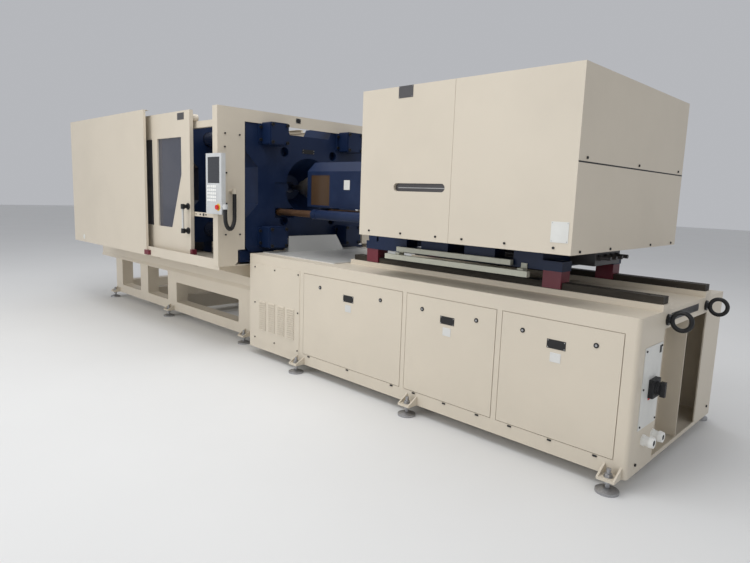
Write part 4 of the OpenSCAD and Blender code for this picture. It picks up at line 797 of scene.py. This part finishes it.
# %% Escutcheon and body of the main switch
form = bmesh.new()
block(form, (SWITCH_FACE, -538, 462), (3437, -452, 478), 1.0)
grown("switch_escutcheon", form, signal_red, "root")
form = bmesh.new()
block(form, (SWITCH_FACE, -545, 475), (3461, -445, 575), 2)
disc(form, (3460, -495, 525), "+x", 78, 8.2, 2, 36)
block(form, (SWITCH_FACE, -430, 700), (3435.6, -404, 740), 0.6, 1)
grown("switch_body", form, black_plastic, "root")
print("the main switch stands", 3461 - SWITCH_FACE, "mm off its plate")

# %% [markdown]
# ## View slot and guard windows
# Through the slot in the injection cover one sees a dark backing with a level strip. The nozzle
# guard has an amber window on either side. All of these are flat sheets, so plain blocks will do.

# %% Slot backing and amber windows
form = bmesh.new()
block(form, (1790, -776.5, 1493), (2250, -773, 1573), 1.0)
grown("slot_backing", form, slate, "carriage")
form = bmesh.new()
block(form, (1830, -779, 1529), (2210, -776.5, 1533), 1.0)
grown("slot_strip", form, panel_grey, "carriage")
form = bmesh.new()
for near, far in ((-227, -220), (220, 227)):
    block(form, (236, near, 1356.5), (514, far, 1647.5), 1.0)
grown("guard_windows", form, amber_sheet, "nozzle_guard")
print("the slot has its backing, and the guard its windows")

# %% [markdown]
# ## Bolts on the castings
# Each piston's cap is closed by four big socket screws, and held by four more in the ears of its
# flange. All caps are alike, so nested loops reckon the places from the four centres. The platen's
# feet are bolted down with hexagon heads on washers: a hexagon is a disc with six sides.

# %% Cap screws and foot bolts
cap_places, ear_places = [], []
for y in (-464, 464):
    for z in (1060, 1990):
        for u in (-1, 1):
            for v in (-1, 1):
                cap_places.append((85.5, y + u * 80, z + v * 76))
                ear_places.append((-50, y + u * 117, z + v * 55))
screw_rows("cap_screws", "root", (cap_places, "+x", 31, 13), (ear_places, "+x", 26, 16))
FOOT_TOP = 935
WASHER = 4
form = bmesh.new()
for x in (-420, -285, -150):
    for y in (-749, 749):
        disc(form, (x, y, FOOT_TOP), "+z", 46, WASHER, 0.8, 32)
        disc(form, (x, y, FOOT_TOP + WASHER), "+z", 38, 16, 1.5, 6)
grown("foot_bolts", form, zinc, "root")
print("bolts stand on washers of", WASHER, "mm")

# %% [markdown]
# ## The clamp cover's stop and the gate switch
# A red stop block under the clamp cover tells the operator where the gate ends. On the arm between
# portal and gate sits the switch that knows whether the gate is closed, with the screws that hold
# it. The packed arm is plain, and three heads and a small block are enough to make it read as a
# switch.

# %% Stop block and switch fittings
form = bmesh.new()
block(form, (-1511, -1027, 785), (-1412, -1001, 833), 2)
grown("cover_stop", form, crimson, "root")
ARM_FACE = -898
ARM_HEIGHT = 1242
form = bmesh.new()
block(form, (-512, ARM_FACE - 5, ARM_HEIGHT - 12), (-488, ARM_FACE, ARM_HEIGHT + 12), 1.5)
for x, d, depth in ((-455, 14, 6), (-560, 14, 6), (-640, 10, 5)):
    screw(form, (x, ARM_FACE, ARM_HEIGHT), "-y", d, depth)
grown("switch_fittings", form, black_plastic, "root")
print("the stop and the gate switch are in place")

# %% [markdown]
# ## The valve block
# Under the end of the injection cover hangs the valve block that feeds the injection pistons,
# bolted to the carriage's last cross beam. Four of its pipes rise into the cover and four leave
# towards the end, each a long disc on a six-sided fitting. Two thick pipes run between the cross
# beams. Bent pipes would be curves, but from a step away only the dark row of pipes is seen, so
# straight ones do.

# %% Valve block and pipes
PIPE_ROWS = (-30, 60, 150, 240)
form = bmesh.new()
block(form, (2720, -80, 1078), (2890, 300, 1188), 3)
for y in PIPE_ROWS:
    disc(form, (2890, y, 1132), "+x", 44, 18, 2, 6)
    disc(form, (2908, y, 1132), "+x", 26, 60, 2, 24)
    disc(form, (2806, y, 1188), "+z", 44, 16, 2, 6)
    disc(form, (2806, y, 1204), "+z", 26, 210, 2, 24)
for y, z in ((-20, 1100), (20, 1071)):
    disc(form, (1880, y, z), "+x", 32, 720, 2, 24)
grown("valve_block", form, slate, "carriage")
print("valve block with", 2 * len(PIPE_ROWS), "pipes, and two more between the cross beams")

# %% [markdown]
# ## The far side of the base
# Fitters reach the hydraulics from behind through two removable sheets. They are plain and screwed
# on, because nobody opens them in daily work, and they stay clear of the slots that let the power
# unit breathe. A line in the paint would do from afar, but a sheet of its own throws a shadow along
# its edge.

# %% Removable sheets on the rear wall
REAR_FACE = 720
SHEET = 3
SHEET_WIDTH = 960
form, places = bmesh.new(), []
for left in (1260, 2280):
    block(form, (left, REAR_FACE, 160), (left + SHEET_WIDTH, REAR_FACE + SHEET, 830), 1.2)
    places += [(x, REAR_FACE + SHEET, z) for z in (185, 805)
               for x in (left + 25, left + SHEET_WIDTH / 2, left + SHEET_WIDTH - 25)]
grown("rear_sheets", form, cream, "root")
screw_rows("rear_screws", "root", (places, "+y", 13, 5))

# %% [markdown] ## Gate handle The safety gate is pulled by a light grey bar between two black cast
# brackets. Each bracket has a round foot on the gate, a short arm, and a socket that clamps the
# bar.

# %% Handle of the front gate
GRIP_X, GRIP_Y, GRIP_LOW, GRIP_HIGH = -710, -998, 1080, 1310
GATE_FACE = -940
form = bmesh.new()
for z in (GRIP_LOW, GRIP_HIGH):
    disc(form, (GRIP_X, GATE_FACE, z), "-y", 62, 12, 3, 32)
    block(form, (GRIP_X - 17, GRIP_Y, z - 17), (GRIP_X + 17, GATE_FACE - 6, z + 17), 6, 3)
    disc(form, (GRIP_X, GRIP_Y, z - 23), "+z", 38, 46, 4)
brackets = grown("handle_brackets", form, black_plastic, "front_gate")
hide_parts("gate_handle")
form = bmesh.new()
disc(form, (GRIP_X, GRIP_Y, GRIP_LOW + 10), "+z", 22, GRIP_HIGH - GRIP_LOW - 20, 1.5)
for z in (GRIP_LOW + 23, GRIP_HIGH - 29):
    disc(form, (GRIP_X, GRIP_Y, z), "+z", 27, 6, 1.5)
grown("handle_grip", form, light_grey, "front_gate")
print("handle", GRIP_HIGH - GRIP_LOW, "mm between its brackets")

# %% [markdown]
# ## Operator panel
# The panel has a screen above and keys below. The screen is glass in a shallow recess. The keys are
# small caps in rows, and the emergency stop stands in a yellow collar. A picture could show the
# keys, but caps of their own look right from the side too.

# %% Screen, keys and collar
KEY_ROWS = KEY_COLUMNS = 5
form = bmesh.new()
block(form, (-129, -1061.6, 1531), (61, -1057, 1749), 2)
grown("panel_screen", form, screen_glass, "operator_panel")
form = bmesh.new()
for row in range(KEY_ROWS):
    for column in range(KEY_COLUMNS):
        x, z = -136 + column * 30, 1376 + row * 29
        block(form, (x, -1066, z), (x + 22, -1062, z + 20), 2)
grown("panel_keys", form, white_plastic, "operator_panel")
form = bmesh.new()
disc(form, (42, -1062, 1330), "-y", 60, 4, 1.2, 36)
grown("stop_collar", form, yellow, "operator_panel")
print("panel has a screen and", KEY_ROWS * KEY_COLUMNS, "keys")

# %% [markdown] ## A plain floor The machine stands on a pale plain floor, wide enough to fill the
# frame to the horizon. A backdrop with a curved foot would hide the horizon, but a flat floor keeps
# the machine's own shadow simple.

# %% Pale floor
FLOOR_HALF = 40


def floor_paint(place):
    cloud = noise(place, 0.8)
    return {"Base Color": blend(cloud, (0.72, 0.72, 0.71), (0.76, 0.76, 0.75)), "Roughness": 0.7}


floor_mesh = bpy.data.meshes.new("floor")
form = bmesh.new()
bmesh.ops.create_grid(form, x_segments=1, y_segments=1, size=FLOOR_HALF)
form.to_mesh(floor_mesh)
form.free()
floor = bpy.data.objects.new("floor", floor_mesh)
bpy.context.scene.collection.objects.link(floor)
floor_mesh.materials.append(finish("floor_paint", floor_paint))
print("floor is", 2 * FLOOR_HALF, "metres across")

# %% [markdown]
# ## Soft lamps
# The photograph's light comes softly from the left and from above. So one large lamp stands far out
# on the operator's side, a weaker one lights the end, and a wide one hangs over the machine. A
# small one reaches into the gap above the nozzle, where the photograph is bright too. A sun lamp
# would be simpler, but its shadows are too hard. The world gives the even light between them.

# %% Lamps and an even world
SKY = (0.93, 0.95, 1.0, 1)
SKY_STRENGTH = 0.5


def lamp(name, place, target, size, power):
    """A square soft lamp that faces its target."""
    data = bpy.data.lights.new(name, "AREA")
    data.size = size
    data.energy = power
    light = bpy.data.objects.new(name, data)
    bpy.context.scene.collection.objects.link(light)
    light.location = place
    light.rotation_euler = (Vector(target) - Vector(place)).to_track_quat("-Z", "Y").to_euler()
    return light


lamps = [lamp("operator_side", (-1, -11, 3.8), (0, 0, 1), 6, 372),
         lamp("injection_end", (9, -3, 5), (1, 0, 1), 5, 60),
         lamp("above_nozzle", (1.2, -2.4, 5.5), (-0.6, -0.4, 1.4), 3, 70),
         lamp("overhead", (0, 0, 8), (0, 0, 0), 8, 300)]
world = bpy.data.worlds.new("even_light")
bpy.context.scene.world = world
world.use_nodes = True
background = world.node_tree.nodes["Background"]
background.inputs["Color"].default_value = SKY
background.inputs["Strength"].default_value = SKY_STRENGTH
bpy.context.scene.view_settings.view_transform = "Standard"
print("lamps:", [light.name for light in lamps])

# %% [markdown]
